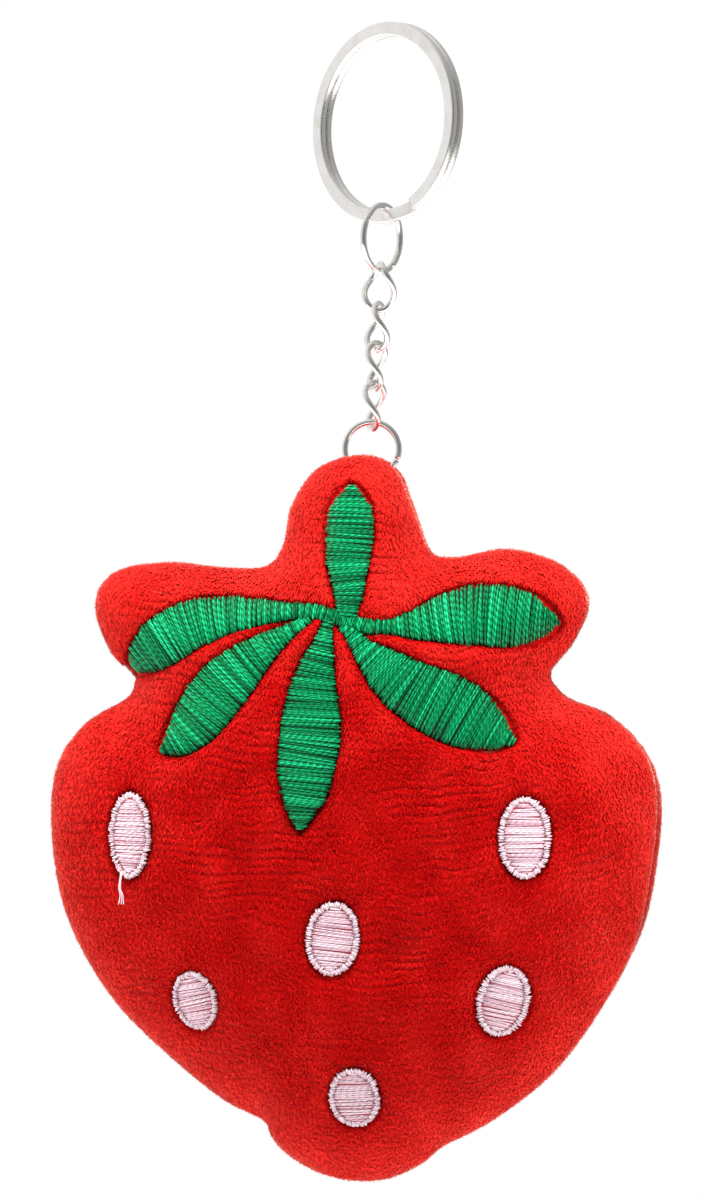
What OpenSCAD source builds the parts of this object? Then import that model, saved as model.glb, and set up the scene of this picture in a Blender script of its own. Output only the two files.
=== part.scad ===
/* [Split ring] */
// Outside diameter of the split ring
ring_od = 28.5; // [22:0.5:40]
// Radial width of the split ring's flat wire
ring_wire_w = 1.9; // [1.4:0.1:2.6]
// Thickness of one coil of the split ring
coil_t = 1.05; // [0.8:0.05:1.4]
// Air between the two coils
coil_gap = 0.1; // [0.04:0.02:0.2]
// How far the split ring is turned about the vertical
ring_yaw = -41; // [-60:1:-30]

/* [Chain] */
// Outside diameter of the ring that hangs in the split ring
jump_od = 10.2; // [8.5:0.1:14]
// Wire diameter of the jump ring and the links
chain_wire = 0.9; // [0.7:0.05:1]
// How far the jump ring is turned about the vertical
jump_yaw = 61; // [50:1:70]
// Outside length of one twisted link
link_l = 7.49; // [6.8:0.01:9.5]
// Outside width of one twisted link
link_w = 5.4; // [4.8:0.1:6.5]
// Twist of a link from its top end to its bottom end
link_twist = 85; // [60:1:95]
// Air between two wires that hook into each other
play = 0.1; // [0.06:0.01:0.16]
// Width of the cut where a ring's wire ends meet
butt_gap = 0.1; // [0.05:0.05:0.3]

/* [Base ring and its loop] */
// Outside diameter of the ring that carries the fruit
base_od = 8.5; // [7.5:0.1:10.5]
// Wire diameter of the base ring
base_wire = 0.85; // [0.7:0.05:1]
// Width of the woven loop round the base ring
loop_w = 2.4; // [2:0.1:3]
// Thickness of the woven loop
loop_t = 0.4; // [0.3:0.05:0.6]
// Inside radius of the woven loop's bend
loop_r = 1; // [0.9:0.05:1.4]
// Air between the woven loop and the seam allowances
loop_clear = 0.1; // [0.05:0.05:0.4]

/* [Fruit] */
// Width of the fruit at its seam
plush_w = 84; // [68:1:104]
// Height of the fruit at its seam
plush_h = 100; // [80:1:122]
// Thickness of the stuffed fruit, front to back
plush_t = 34; // [27:0.5:42]
// Distance from the seam over which the stuffing rounds off
dome_reach = 25; // [20:0.5:30]
// How lean the stuffing's shoulders are
dome_lean = 0.72; // [0.6:0.02:0.9]
// Thickness of the cloth with its pressed pile
cloth_t = 1.2; // [0.8:0.1:1.5]
// Depth of the valley that the seam pulls into the edge
seam_dip = 0.8; // [0.5:0.1:1.1]
// Height of the rolled edge on each side of the seam
seam_roll = 1.9; // [1.7:0.1:2.6]
// Air between the two seam allowances, each side of the middle
seam_air = 0.05; // [0.03:0.01:0.1]
// Width of the seam allowance inside the fruit
seam_allow = 3.6; // [3:0.2:4.2]
// Air between the cloth and the filling, where the backing lies
fill_gap = 1; // [0.8:0.05:1.3]
// Thickness of the non-woven backing behind the embroidery
backing_t = 0.3; // [0.2:0.05:0.4]
// Share of the fruit's outline that the backing covers
backing_share = 0.82; // [0.7:0.01:0.86]

/* [Embroidery and thread] */
// Thickness of the padded satin stitching
satin_t = 0.8; // [0.5:0.1:1.2]
// Air between the cloth and the stitched leaves and seeds
satin_gap = 0.3; // [0.2:0.05:0.5]
// Diameter of the seam thread
thread_d = 0.35; // [0.25:0.05:0.5]
// Diameter of the embroidery thread's loose tail
tail_d = 0.3; // [0.2:0.05:0.4]

/* [Hidden] */

NICKEL = "#d9d8d4";
RED = "#dc1c1c";
GREEN = "#0a8f4e";
PINK = "#ecd3da";
WHITE = "#f0efec";

// Facets round a link's wire, round an exact ring and round its wire, and round a seed
WIRE_SIDES = 8;
RING_FN = 64;
RING_WIRE_FN = 24;
SEED_SIDES = 16;

// Where the cuts of the jump ring and the base ring are, as angles in the ring's own plane
JUMP_CUT = -55;
BASE_CUT = -20;

// The chain hangs down the Z axis from the split ring's centre. Each height is a wire's middle.
ring_inner = ring_od / 2 - ring_wire_w;
stack_half = coil_t + coil_gap / 2;
jump_r = (jump_od - chain_wire) / 2;
jump_inner = jump_od / 2 - chain_wire;
jump_seat = jump_inner - sqrt(pow(jump_inner, 2) - pow(stack_half, 2));
jump_top = -ring_inner + jump_seat + play + chain_wire / 2;
link_half_l = (link_l - chain_wire) / 2;
link_half_w = (link_w - chain_wire) / 2;
link_pitch = 2 * link_half_l - chain_wire - play;
first_link_top = jump_top - 2 * jump_r + chain_wire + play;
LINK_YAW = [-70, 69.5, 44, 40];
LINKS = len(LINK_YAW);
last_link_bottom = first_link_top - LINKS * link_pitch - chain_wire - play;
base_r = (base_od - base_wire) / 2;
base_top = last_link_bottom + (chain_wire + base_wire) / 2 + play;
hang_z = base_top - 2 * base_r;

// The fruit's points are [x, z] from the base ring's lowest wire, for a fruit of this size.
DRAWN_W = 84;
DRAWN_H = 100;
kx = plush_w / DRAWN_W;
kz = plush_h / DRAWN_H;
art = min(kx, kz);

// The seam, clockwise from the crown: right lobe, body, tip, body, left lobe
SEAM_POINTS = [
    [-1, 2], [3, 0.5], [5.5, -4.5], [8.5, -11], [13, -11.8], [20, -10.3], [27, -12], [30.7, -16],
    [29, -21.5], [25.8, -26.5], [28.5, -30.5], [35, -33], [40, -37.8], [42, -44], [41.6, -54],
    [39.8, -63.5], [35, -73.5], [29, -82.3], [21, -89.2], [14.5, -93], [11, -96], [6, -98.2],
    [0, -98.2], [-5, -96.4], [-8.4, -93.7], [-10.2, -90.8], [-16, -88.2], [-23.5, -82.8],
    [-31, -76.3], [-36.5, -69], [-40.2, -61], [-42, -51], [-41.5, -43], [-37.8, -37.3],
    [-32.3, -33.6], [-31.2, -30.2], [-34.8, -26], [-37.2, -20], [-35, -16], [-28, -14.4],
    [-20, -14.8], [-13.5, -14.2], [-10.9, -10.5], [-10, -5], [-6.8, 0]
];
SEAM_STEPS = 2;
CROWN = fruit_point([0, 1.8]);
MIDDLE = fruit_point([-1, -39]);
ENDS_NEAR_TIP = [19, 22];

// Each leaf's stations: [x, z, half width]
LEAF_TOP = [
    [-1.9, -1.6, 0.6], [-1.8, -3.4, 2], [-1.8, -5.6, 3], [-1.7, -8.9, 3.2], [-1.8, -12.1, 2.9],
    [-1.5, -14.5, 2.4], [-1.2, -17, 1.9], [-1.3, -18.8, 1.4]
];
LEAF_LEFT = [
    [1.5, -21, 0.5], [-2.4, -20.2, 0.8], [-5.8, -19.4, 0.9], [-9.4, -19.6, 1.1], [-14.5, -20.1, 1.9],
    [-19.4, -20.9, 2.8], [-23.8, -22.4, 3.4], [-27.9, -25.1, 3.4], [-30.9, -27.6, 2.1], [-31.9, -28.8, 0.8]
];
LEAF_RIGHT = [
    [2, -21.3, 0.5], [5.1, -21.1, 1], [8.6, -20.5, 2.1], [12.2, -19.6, 3.3], [16, -18.9, 4],
    [19.9, -18.9, 4.2], [23.4, -19.1, 3.6], [25.9, -19.3, 2.2], [27.8, -19.3, 0.6]
];
LEAF_LOWER_LEFT = [
    [-7.7, -21.5, 0.6], [-11.1, -23.7, 1.5], [-14.2, -26.4, 2.7], [-17.1, -29.4, 3.6], [-19.7, -32.7, 3.9],
    [-21.9, -35.9, 3.5], [-24.1, -38.3, 2.4], [-26.4, -39.8, 0.7]
];
LEAF_BOTTOM = [
    [-4, -21.7, 0.6], [-4.4, -24.4, 1.5], [-5, -27.8, 2.6], [-5.3, -32.2, 3.6], [-5.3, -36.6, 4.1],
    [-5.6, -40.5, 4], [-5.8, -44.4, 3.2], [-6, -47.5, 1.8], [-6, -49.7, 0.5]
];
LEAF_LOWER_RIGHT = [
    [-0.9, -22, 0.5], [1.5, -24.5, 1.5], [4.4, -26.9, 2.9], [7.7, -29.2, 3.8], [11.8, -31.2, 4.5],
    [15.6, -32.9, 4.4], [18.8, -34.5, 3.2], [21.1, -35.6, 1.8], [22.6, -36.3, 0.5]
];

// Each seed: [x, z, width, height, lean of its top to the left]
SEED_UPPER_LEFT = [-30.2, -51.9, 6.1, 11.9, 2];
SEED_UPPER_RIGHT = [25, -49.4, 7.2, 11.3, 3];
SEED_MIDDLE = [-0.8, -64.6, 7.5, 10.2, -3];
SEED_LOWER_LEFT = [-20.1, -74.5, 6.4, 8.4, 14];
SEED_LOWER_RIGHT = [23, -72.2, 7.1, 10, -12];
SEED_BOTTOM = [2.9, -86.8, 7.2, 8.3, 6];
TAIL_ROUTE = [[-31.1, -57], [-31.6, -59.4], [-30.9, -60.3], [-31, -61.5]];

// The gap in the seam at the crown, where the base ring goes in. Below it the panels close up again.
opening_half_w = loop_r + loop_t + loop_clear;
opening_ease = 2.5;
opening_below = 0.7;
opening_half_l = base_od / 2 + opening_ease;
opening_depth = seam_dip + seam_allow + opening_below;
opening_fade = 12;

// Where the seam is stitched, in from the valley at the edge
stitch_inset = 1.2;

function fruit_point(p) = [p.x * kx, p.y * kz];

function total(values) = values * [for (v = values) 1];

// Smooth curve through four neighbours, at t from 0 to 1 between the middle two
function between(a, b, c, d, t) =
    0.5 * (2 * b + t * (c - a) + t * t * (2 * a - 5 * b + 4 * c - d) + t * t * t * (3 * b - 3 * c + d - a));

function closed_curve(points, steps) = [
    for (i = [0:len(points) - 1], k = [0:steps - 1])
        let (n = len(points))
        between(points[(i + n - 1) % n], points[i], points[(i + 1) % n], points[(i + 2) % n], k / steps)
];

function open_curve(points, steps) = concat(
    [
        for (i = [0:len(points) - 2], k = [0:steps - 1])
            let (last = len(points) - 1)
            between(points[max(i - 1, 0)], points[i], points[i + 1], points[min(i + 2, last)], k / steps)
    ],
    [points[len(points) - 1]]
);

seam = closed_curve([for (p = SEAM_POINTS) fruit_point(p)], SEAM_STEPS);

// Unit vector out of the fruit, in the plane of the seam
function outward(i) =
    let (n = len(seam), t = seam[(i + 1) % n] - seam[(i + n - 1) % n])
    [-t.y, t.x] / norm(t);

function inset_seam(depth) = [for (i = [0:len(seam) - 1]) seam[i] - outward(i) * depth];

// Integral of 1 / distance^3 from p along the straight line a to b
function pull(p, a, b) =
    let (
        along = (b - a) / norm(b - a),
        from = (a - p) * along,
        to = (b - p) * along,
        off = max(pow(norm(a - p), 2) - from * from, 0.0001)
    )
    (to / sqrt(off + to * to) - from / sqrt(off + from * from)) / off;

// Smooth distance from the seam: close to it this is the plain distance
function edge_distance(p) =
    let (n = len(seam))
    sqrt(2 / total([for (i = [0:n - 1]) pull(p, seam[i], seam[(i + 1) % n])]));

function dome(share) = share >= 1 ? 1 : share <= 0 ? 0 : pow(1 - pow(1 - share, 2), dome_lean);

dome_h = plush_t / 2 - seam_roll - seam_air;

// Height over the rolled edge of the surface that lies this far under the cloth's face
function rise(p, under) = (dome_h - under) * dome((edge_distance(p) - under) / (dome_reach - under));

function smooth(t) = t <= 0 ? 0 : t >= 1 ? 1 : t * t * (3 - 2 * t);

// Half of the gap between the panels at p: a hair all over, and the opening for the base ring at the crown
function seam_half(p) =
    let (share = abs(p.x - CROWN.x) / opening_half_l, down = CROWN.y - p.y - opening_depth)
    seam_air + (opening_half_w - seam_air)
        * (share < 1 ? pow(1 - pow(share, 4), 2) : 0) * (1 - smooth(down / opening_fade));

// A point in from the seam by this depth, this high over the gap between the panels
function at_seam(i, depth, up) = let (p = seam[i] - outward(i) * depth) [p.x, -seam_half(p) - up, p.y];

// Height of the surface that lies this far under the cloth's face, over the fruit's middle plane
function face_height(p, under) = seam_half(p) + seam_roll + rise(p, under);

// A ring of points on the surface under the cloth's face, at this share of the way to an outline
function dome_ring(outline, share, under) = [
    for (i = [0:len(seam) - 1])
        let (p = MIDDLE + (outline[i] - MIDDLE) * share)
        [p.x, -face_height(p, under), p.y]
];

function dome_top(under) = [MIDDLE.x, -face_height(MIDDLE, under), MIDDLE.y];

// Mean of a ring's points
function centre_of(ring) = [for (axis = [0:2]) total([for (p = ring) p[axis]])] / len(ring);

// A closed solid through rings of points, with a point at each end
module skin(first, rings, last) {
    n = len(rings[0]);
    end = 1 + n * len(rings);
    points = concat([first], [for (ring = rings, p = ring) p], [last]);
    faces = concat(
        [for (i = [0:n - 1]) [0, 1 + i, 1 + (i + 1) % n]],
        [
            for (j = [0:len(rings) - 2], i = [0:n - 1], half = [0, 1])
                let (a = 1 + j * n, b = a + n, k = (i + 1) % n)
                half == 0 ? [a + i, b + i, b + k] : [a + i, b + k, a + k]
        ],
        [for (i = [0:n - 1]) [end, end - n + (i + 1) % n, end - n + i]]
    );
    polyhedron(points, faces);
}

// A closed tube through rings of points that come back to the first
module loop_skin(rings) {
    n = len(rings[0]);
    m = len(rings);
    points = [for (ring = rings, p = ring) p];
    faces = [
        for (j = [0:m - 1], i = [0:n - 1], half = [0, 1])
            let (a = j * n, b = ((j + 1) % m) * n, k = (i + 1) % n)
            half == 0 ? [a + i, b + i, b + k] : [a + i, b + k, a + k]
    ];
    polyhedron(points, faces);
}

// Points of a flat wire's section at one angle of its coil
function coil_section(angle, side) =
    let (
        bevel = 0.25,
        w = ring_wire_w / 2,
        t = coil_t / 2,
        mid = ring_od / 2 - w,
        corners = [
            [w, t - bevel], [w - bevel, t], [bevel - w, t], [-w, t - bevel],
            [-w, bevel - t], [bevel - w, -t], [w - bevel, -t], [w, bevel - t]
        ]
    )
    [for (c = corners) [(mid + c.x) * cos(angle), side + c.y, (mid + c.x) * sin(angle)]];

// The coil is two flat turns. It steps from one to the other near the top.
module split_ring() {
    offset = (coil_t + coil_gap) / 2;
    start = -62;
    turns = 700;
    step_at = 350;
    step_half = 22;
    count = 104;
    angles = [for (i = [0:count]) i * turns / count];
    function side(a) =
        a < step_at - step_half ? -offset
        : a > step_at + step_half ? offset
        : offset * sin(90 * (a - step_at) / step_half);
    rings = [for (a = angles) coil_section(start + a, side(a))];
    color(NICKEL)
        rotate([0, 0, ring_yaw])
            skin(centre_of(rings[0]), rings, centre_of(rings[count]));
}

// A wire ring that hangs in a vertical plane, with its cut turned to this angle
module wire_ring(radius, wire, cut_at) {
    cut = butt_gap / radius * 180 / PI;
    rotate([90, 0, 0])
        rotate([0, 0, cut_at + cut / 2])
            rotate_extrude(angle = 360 - cut, $fn = RING_FN)
                translate([radius, 0])
                    circle(d = wire, $fn = RING_WIRE_FN);
}

module upper_jump_ring() {
    color(NICKEL)
        translate([0, 0, jump_top - jump_r])
            rotate([0, 0, jump_yaw])
                wire_ring(jump_r, chain_wire, JUMP_CUT);
}

module base_ring() {
    color(NICKEL)
        translate([0, 0, base_top - base_r])
            wire_ring(base_r, base_wire, BASE_CUT);
}

// Middle line of a twisted link: an oval whose plane turns as it goes down
function link_point(yaw, a) =
    let (
        z = link_half_l * sin(a),
        turn = yaw + link_twist * smooth((link_half_l - z) / (2 * link_half_l)),
        x = link_half_w * cos(a)
    )
    [x * cos(turn), x * sin(turn), z];

function unit(v) = v / norm(v);

function link_section(yaw, a) =
    let (
        p = link_point(yaw, a),
        t = unit(link_point(yaw, a + 1) - link_point(yaw, a - 1)),
        turn = yaw + link_twist * smooth((link_half_l - p.z) / (2 * link_half_l)),
        face = [-sin(turn), cos(turn), 0],
        u = unit(face - (face * t) * t),
        v = cross(t, u)
    )
    [
        for (k = [0:WIRE_SIDES - 1])
            let (s = k * 360 / WIRE_SIDES)
            p + chain_wire / 2 * (u * cos(s) + v * sin(s))
    ];

module chain_link(index) {
    count = 44;
    color(NICKEL)
        translate([0, 0, first_link_top - index * link_pitch - link_half_l])
            loop_skin([for (i = [0:count - 1]) link_section(LINK_YAW[index], i * 360 / count)]);
}

// The woven loop goes over the base ring's wire and down between the seam allowances.
module hanging_loop() {
    wire_rise = base_r - sqrt(pow(base_r, 2) - pow(loop_w / 2, 2));
    bend_z = base_wire / 2 + wire_rise + play - loop_r;
    leg = bend_z - (CROWN.y - seam_dip - seam_allow);
    color(WHITE)
        translate([0, 0, hang_z + bend_z])
            rotate([90, 0, 90])
                linear_extrude(height = loop_w, center = true)
                    difference() {
                        union() {
                            circle(r = loop_r + loop_t, $fn = 48);
                            translate([-loop_r - loop_t, -leg])
                                square([2 * (loop_r + loop_t), leg]);
                        }
                        circle(r = loop_r, $fn = 48);
                        translate([-loop_r, -leg - 1])
                            square([2 * loop_r, leg + 1]);
                    }
}

// One half of the cover: the crowned face, the rolled edge, and the allowance turned inwards
module panel() {
    face_rings = 12;
    roll_rings = 3;
    inner_rings = 8;
    fold_gap = 0.3;
    last = len(seam) - 1;
    lining = inset_seam(cloth_t);
    allowance = seam_dip + seam_allow;
    rings = concat(
        [for (j = [1:face_rings]) dome_ring(seam, sin(90 * j / face_rings), 0)],
        [
            for (k = [1:roll_rings])
                let (a = 90 * k / roll_rings, depth = seam_dip * (1 - cos(a)), up = seam_roll * (1 - sin(a)))
                [for (i = [0:last]) at_seam(i, depth, up)]
        ],
        [[for (i = [0:last]) at_seam(i, allowance, 0)]],
        [[for (i = [0:last]) at_seam(i, allowance, cloth_t)]],
        [[for (i = [0:last]) at_seam(i, cloth_t + fold_gap, cloth_t)]],
        [for (j = [inner_rings:-1:1]) dome_ring(lining, sin(90 * j / inner_rings), cloth_t)]
    );
    skin(dome_top(0), rings, dome_top(cloth_t));
}

module front_panel() {
    color(RED)
        translate([0, 0, hang_z])
            panel();
}

module back_panel() {
    color(RED)
        translate([0, 0, hang_z])
            mirror([0, 1, 0])
                panel();
}

function mirrored(ring) = [for (p = ring) [p.x, -p.y, p.z]];

// The stuffing fills the cover and has a groove all round for the seam allowances.
module filling() {
    under = cloth_t + fill_gap;
    face_rings = 8;
    last = len(seam) - 1;
    lip_inset = 1.2;
    groove_clear = 0.5;
    lip = under + lip_inset;
    groove = seam_dip + seam_allow + groove_clear;
    rim = inset_seam(lip);
    half = concat(
        [for (j = [1:face_rings]) dome_ring(rim, sin(90 * j / face_rings), under)],
        [[for (i = [0:last]) at_seam(i, lip, under)]],
        [[for (i = [0:last]) at_seam(i, groove, under)]]
    );
    back = [for (j = [len(half) - 1:-1:0]) mirrored(half[j])];
    top = dome_top(under);
    color(WHITE)
        translate([0, 0, hang_z])
            skin(top, concat(half, back), [top.x, -top.y, top.z]);
}

// Thin sheet against the inside of the front panel, behind the embroidery
module embroidery_backing() {
    near = cloth_t + (fill_gap - backing_t) / 2;
    far = near + backing_t;
    face_rings = 7;
    color(WHITE)
        translate([0, 0, hang_z])
            skin(
                dome_top(near),
                concat(
                    [for (j = [1:face_rings]) dome_ring(seam, backing_share * j / face_rings, near)],
                    [for (j = [face_rings:-1:1]) dome_ring(seam, backing_share * j / face_rings, far)]
                ),
                dome_top(far)
            );
}

// A stitch through the seam, from front to back
module stitch(p, half_l) {
    translate([p.x, 0, p.y])
        rotate([90, 0, 0])
            cylinder(h = 2 * half_l, d = thread_d, center = true, $fn = 16);
}

module seam_stitching() {
    line = seam_dip + stitch_inset;
    knot = 0.15;
    bar_up = 0.8;
    bar_z = CROWN.y - seam_dip - seam_allow + bar_up;
    color(RED)
        translate([0, 0, hang_z]) {
            for (i = [0:len(seam) - 1])
                if (seam_half(seam[i]) <= seam_air)
                    let (p = seam[i] - outward(i) * line)
                    stitch(p, seam_half(p) + cloth_t + knot);
            for (side = [-1, 1])
                stitch([side * loop_w / 4, bar_z], opening_half_w + cloth_t / 2);
        }
}

// Hand stitches that close the turning gap beside the tip
module closing_stitching() {
    sink = seam_dip * 0.75;
    from = ENDS_NEAR_TIP[0] * SEAM_STEPS;
    to = ENDS_NEAR_TIP[1] * SEAM_STEPS;
    color(RED)
        translate([0, 0, hang_z])
            for (i = [from:to])
                stitch(seam[i] - outward(i) * sink, seam_roll);
}

// Cross-section of the stitching over the cloth, across a leaf at one station
function satin_section(station, side) =
    let (
        across = [-1, -0.6, 0, 0.6, 1],
        edge_t = 0.2 * satin_t,
        face = function (w)
            let (p = [station.x, station.y] + side * w * station.z)
            [p.x, -face_height(p, 0) - satin_gap, p.y],
        up = function (w) edge_t + (satin_t - edge_t) * sqrt(1 - w * w)
    )
    concat(
        [for (w = across) face(w) - [0, up(w), 0]],
        [for (i = [3:-1:1]) face(across[i])]
    );

module leaf(stations) {
    scaled = [for (s = stations) [s.x * kx, s.y * kz, s.z * art]];
    path = open_curve(scaled, 2);
    last = len(path) - 1;
    rings = [
        for (i = [0:last])
            let (
                ahead = path[min(i + 1, last)] - path[max(i - 1, 0)],
                along = unit([ahead.x, ahead.y])
            )
            satin_section(path[i], [along.y, -along.x])
    ];
    color(GREEN)
        translate([0, 0, hang_z])
            skin(centre_of(rings[0]), rings, centre_of(rings[last]));
}

function seed_ring(seed, share, up) = [
    for (k = [0:SEED_SIDES - 1])
        let (
            a = -k * 360 / SEED_SIDES,
            u = share * seed[2] / 2 * cos(a) * art,
            v = share * seed[3] / 2 * sin(a) * art,
            lean = seed[4],
            centre = fruit_point([seed[0], seed[1]]),
            p = centre + [u * cos(lean) - v * sin(lean), u * sin(lean) + v * cos(lean)]
        )
        [p.x, -face_height(p, 0) - satin_gap - up, p.y]
];

// A low padded dome over a flat underside. Each ring: [share of the oval, share of the stitching's thickness]
module seed(seed) {
    rings = [[0.45, 0.95], [0.8, 0.8], [1, 0.25], [0.98, 0], [0.5, 0]];
    color(PINK)
        translate([0, 0, hang_z])
            skin(
                seed_ring(seed, 0, satin_t)[0],
                [for (r = rings) seed_ring(seed, r[0], r[1] * satin_t)],
                seed_ring(seed, 0, 0)[0]
            );
}

// The end of the seed's thread, left loose on the pile
module thread_tail() {
    path = open_curve([for (p = TAIL_ROUTE) fruit_point(p)], 2);
    last = len(path) - 1;
    sides = 6;
    rings = [
        for (i = [0:last])
            let (
                p = path[i],
                along = unit(path[min(i + 1, last)] - path[max(i - 1, 0)]),
                y = -face_height(p, 0) - satin_gap - tail_d / 2
            )
            [
                for (k = [0:sides - 1])
                    let (s = k * 360 / sides, off = tail_d / 2 * cos(s))
                    [p.x - along.y * off, y - tail_d / 2 * sin(s), p.y + along.x * off]
            ]
    ];
    color(PINK)
        translate([0, 0, hang_z])
            skin(centre_of(rings[0]), rings, centre_of(rings[last]));
}

split_ring();
upper_jump_ring();
chain_link(0);  // chain_link_1
chain_link(1);  // chain_link_2
chain_link(2);  // chain_link_3
chain_link(3);  // chain_link_4
base_ring();
hanging_loop();
front_panel();
back_panel();
filling();
embroidery_backing();
seam_stitching();
closing_stitching();
leaf(LEAF_TOP);  // leaf_top
leaf(LEAF_LEFT);  // leaf_left
leaf(LEAF_RIGHT);  // leaf_right
leaf(LEAF_LOWER_LEFT);  // leaf_lower_left
leaf(LEAF_BOTTOM);  // leaf_bottom
leaf(LEAF_LOWER_RIGHT);  // leaf_lower_right
union() {  // seed_upper_left
    seed(SEED_UPPER_LEFT);
    thread_tail();
}
seed(SEED_UPPER_RIGHT);  // seed_upper_right
seed(SEED_MIDDLE);  // seed_middle
seed(SEED_LOWER_LEFT);  // seed_lower_left
seed(SEED_LOWER_RIGHT);  // seed_lower_right
seed(SEED_BOTTOM);  // seed_bottom
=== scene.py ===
"""Stuffed strawberry on a key chain: its plush, embroidery and metal, and the studio round it.

Every size inside the classes is in millimetres and every mesh is in metres. Points of the fruit are (x, z)
from the lowest wire of the base ring, with x to the right and z up; its front faces -Y.
"""

from __future__ import annotations

import logging
import math
from dataclasses import dataclass, field
from enum import Enum

import bpy
import numpy as np
from mathutils import Matrix, Vector


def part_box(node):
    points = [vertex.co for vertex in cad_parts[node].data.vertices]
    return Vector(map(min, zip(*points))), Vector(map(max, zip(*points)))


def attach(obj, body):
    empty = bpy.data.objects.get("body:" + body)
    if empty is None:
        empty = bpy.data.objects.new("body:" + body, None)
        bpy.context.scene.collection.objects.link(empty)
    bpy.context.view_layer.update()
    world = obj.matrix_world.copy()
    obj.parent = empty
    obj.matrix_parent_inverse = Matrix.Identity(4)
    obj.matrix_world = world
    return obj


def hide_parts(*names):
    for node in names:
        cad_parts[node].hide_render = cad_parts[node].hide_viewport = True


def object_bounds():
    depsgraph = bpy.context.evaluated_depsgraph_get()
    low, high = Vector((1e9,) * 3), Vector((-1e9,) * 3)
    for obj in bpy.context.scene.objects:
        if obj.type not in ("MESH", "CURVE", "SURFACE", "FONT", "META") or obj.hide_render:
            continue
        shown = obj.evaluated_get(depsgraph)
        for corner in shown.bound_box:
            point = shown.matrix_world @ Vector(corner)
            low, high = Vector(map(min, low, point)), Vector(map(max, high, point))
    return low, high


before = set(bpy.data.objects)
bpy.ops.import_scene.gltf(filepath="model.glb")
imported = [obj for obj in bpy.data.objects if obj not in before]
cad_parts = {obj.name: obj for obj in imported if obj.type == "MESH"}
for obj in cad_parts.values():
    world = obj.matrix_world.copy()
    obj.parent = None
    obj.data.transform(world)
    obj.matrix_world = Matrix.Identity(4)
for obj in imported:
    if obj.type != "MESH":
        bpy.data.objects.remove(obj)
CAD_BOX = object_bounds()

log = logging.getLogger("strawberry")
MM = 0.001
TURN = 2 * math.pi

SEAM_POINTS = (
    (-1, 2), (3, 0.5), (5.5, -4.5), (8.5, -11), (13, -11.8), (20, -10.3), (27, -12), (30.7, -16),
    (29, -21.5), (25.8, -26.5), (28.5, -30.5), (35, -33), (40, -37.8), (42, -44), (41.6, -54),
    (39.8, -63.5), (35, -73.5), (29, -82.3), (21, -89.2), (14.5, -93), (11, -96), (6, -98.2),
    (0, -98.2), (-5, -96.4), (-8.4, -93.7), (-10.2, -90.8), (-16, -88.2), (-23.5, -82.8),
    (-31, -76.3), (-36.5, -69), (-40.2, -61), (-42, -51), (-41.5, -43), (-37.8, -37.3),
    (-32.3, -33.6), (-31.2, -30.2), (-34.8, -26), (-37.2, -20), (-35, -16), (-28, -14.4),
    (-20, -14.8), (-13.5, -14.2), (-10.9, -10.5), (-10, -5), (-6.8, 0),
)


class Side(Enum):
    """Which half of the cover a piece belongs to; the value is the sign of its Y."""

    FRONT = -1
    BACK = 1

    @property
    def word(self) -> str:
        """The side's name as it stands in piece names."""
        return self.name.lower()


# Numpy helpers


def catmull(points: np.ndarray, steps: int, closed: bool) -> np.ndarray:
    """Smooth curve through points: each span is the cubic whose end slopes are half the neighbours' difference.

    Args:
        points: The control points, one row each.
        steps: Points to make from each span.
        closed: Whether the last point joins the first.

    Returns:
        The curve's points; an open curve keeps its last point.
    """
    p = np.asarray(points, float)
    n = len(p)
    spans = np.arange(n if closed else n - 1)
    pick = (lambda k: k % n) if closed else (lambda k: np.clip(k, 0, n - 1))
    a, b, c, d = (p[pick(spans + k)][:, None] for k in (-1, 0, 1, 2))
    t = (np.arange(steps) / steps)[None, :, None]
    curve = 0.5 * (2 * b + t * (c - a) + t**2 * (2 * a - 5 * b + 4 * c - d) + t**3 * (3 * b - 3 * c + d - a))
    curve = curve.reshape(-1, p.shape[1])
    return curve if closed else np.vstack([curve, p[-1:]])


def smoothstep(t: np.ndarray) -> np.ndarray:
    """3t^2 - 2t^3 of t held between 0 and 1."""
    t = np.clip(t, 0, 1)
    return t * t * (3 - 2 * t)


def unit(v: np.ndarray) -> np.ndarray:
    """Rows of v at length one."""
    return v / np.maximum(np.linalg.norm(v, axis=-1, keepdims=True), 1e-12)


def ripple(points: np.ndarray, size: float, seed: int, waves: int = 14) -> np.ndarray:
    """Soft noise of about -1 to 1: the mean of plane waves of about this size in random directions.

    Args:
        points: Points of any dimension, one row each.
        size: Typical distance between two crests.
        seed: Picks the waves.
        waves: How many are added.

    Returns:
        One value for each point.
    """
    rng = np.random.default_rng(seed)
    k = unit(rng.normal(size=(waves, points.shape[-1]))) * TURN / (size * rng.uniform(0.7, 1.5, (waves, 1)))
    return np.sin(points @ k.T + rng.uniform(0, TURN, waves)).sum(-1) * math.sqrt(2 / waves) * 0.6


def streaks(x: np.ndarray, row: np.ndarray, length: float, seed: int) -> np.ndarray:
    """Dashes along rows, 0 to 1: each row has its own random values every length, joined smoothly.

    Args:
        x: Distance along the row.
        row: The row's whole number.
        length: Length of one dash.
        seed: Picks the values.

    Returns:
        One value for each x.
    """
    rng = np.random.default_rng(seed)
    table = rng.random(4096)
    start = rng.random(1024)[row % 1024]
    t = x / length + start * 7 + 500
    k = np.floor(t).astype(int)
    mixed = (k * 73 + row * 151) % 4096
    nxt = ((k + 1) * 73 + row * 151) % 4096
    f = smoothstep(t - k)
    return table[mixed] * (1 - f) + table[nxt] * f


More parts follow.
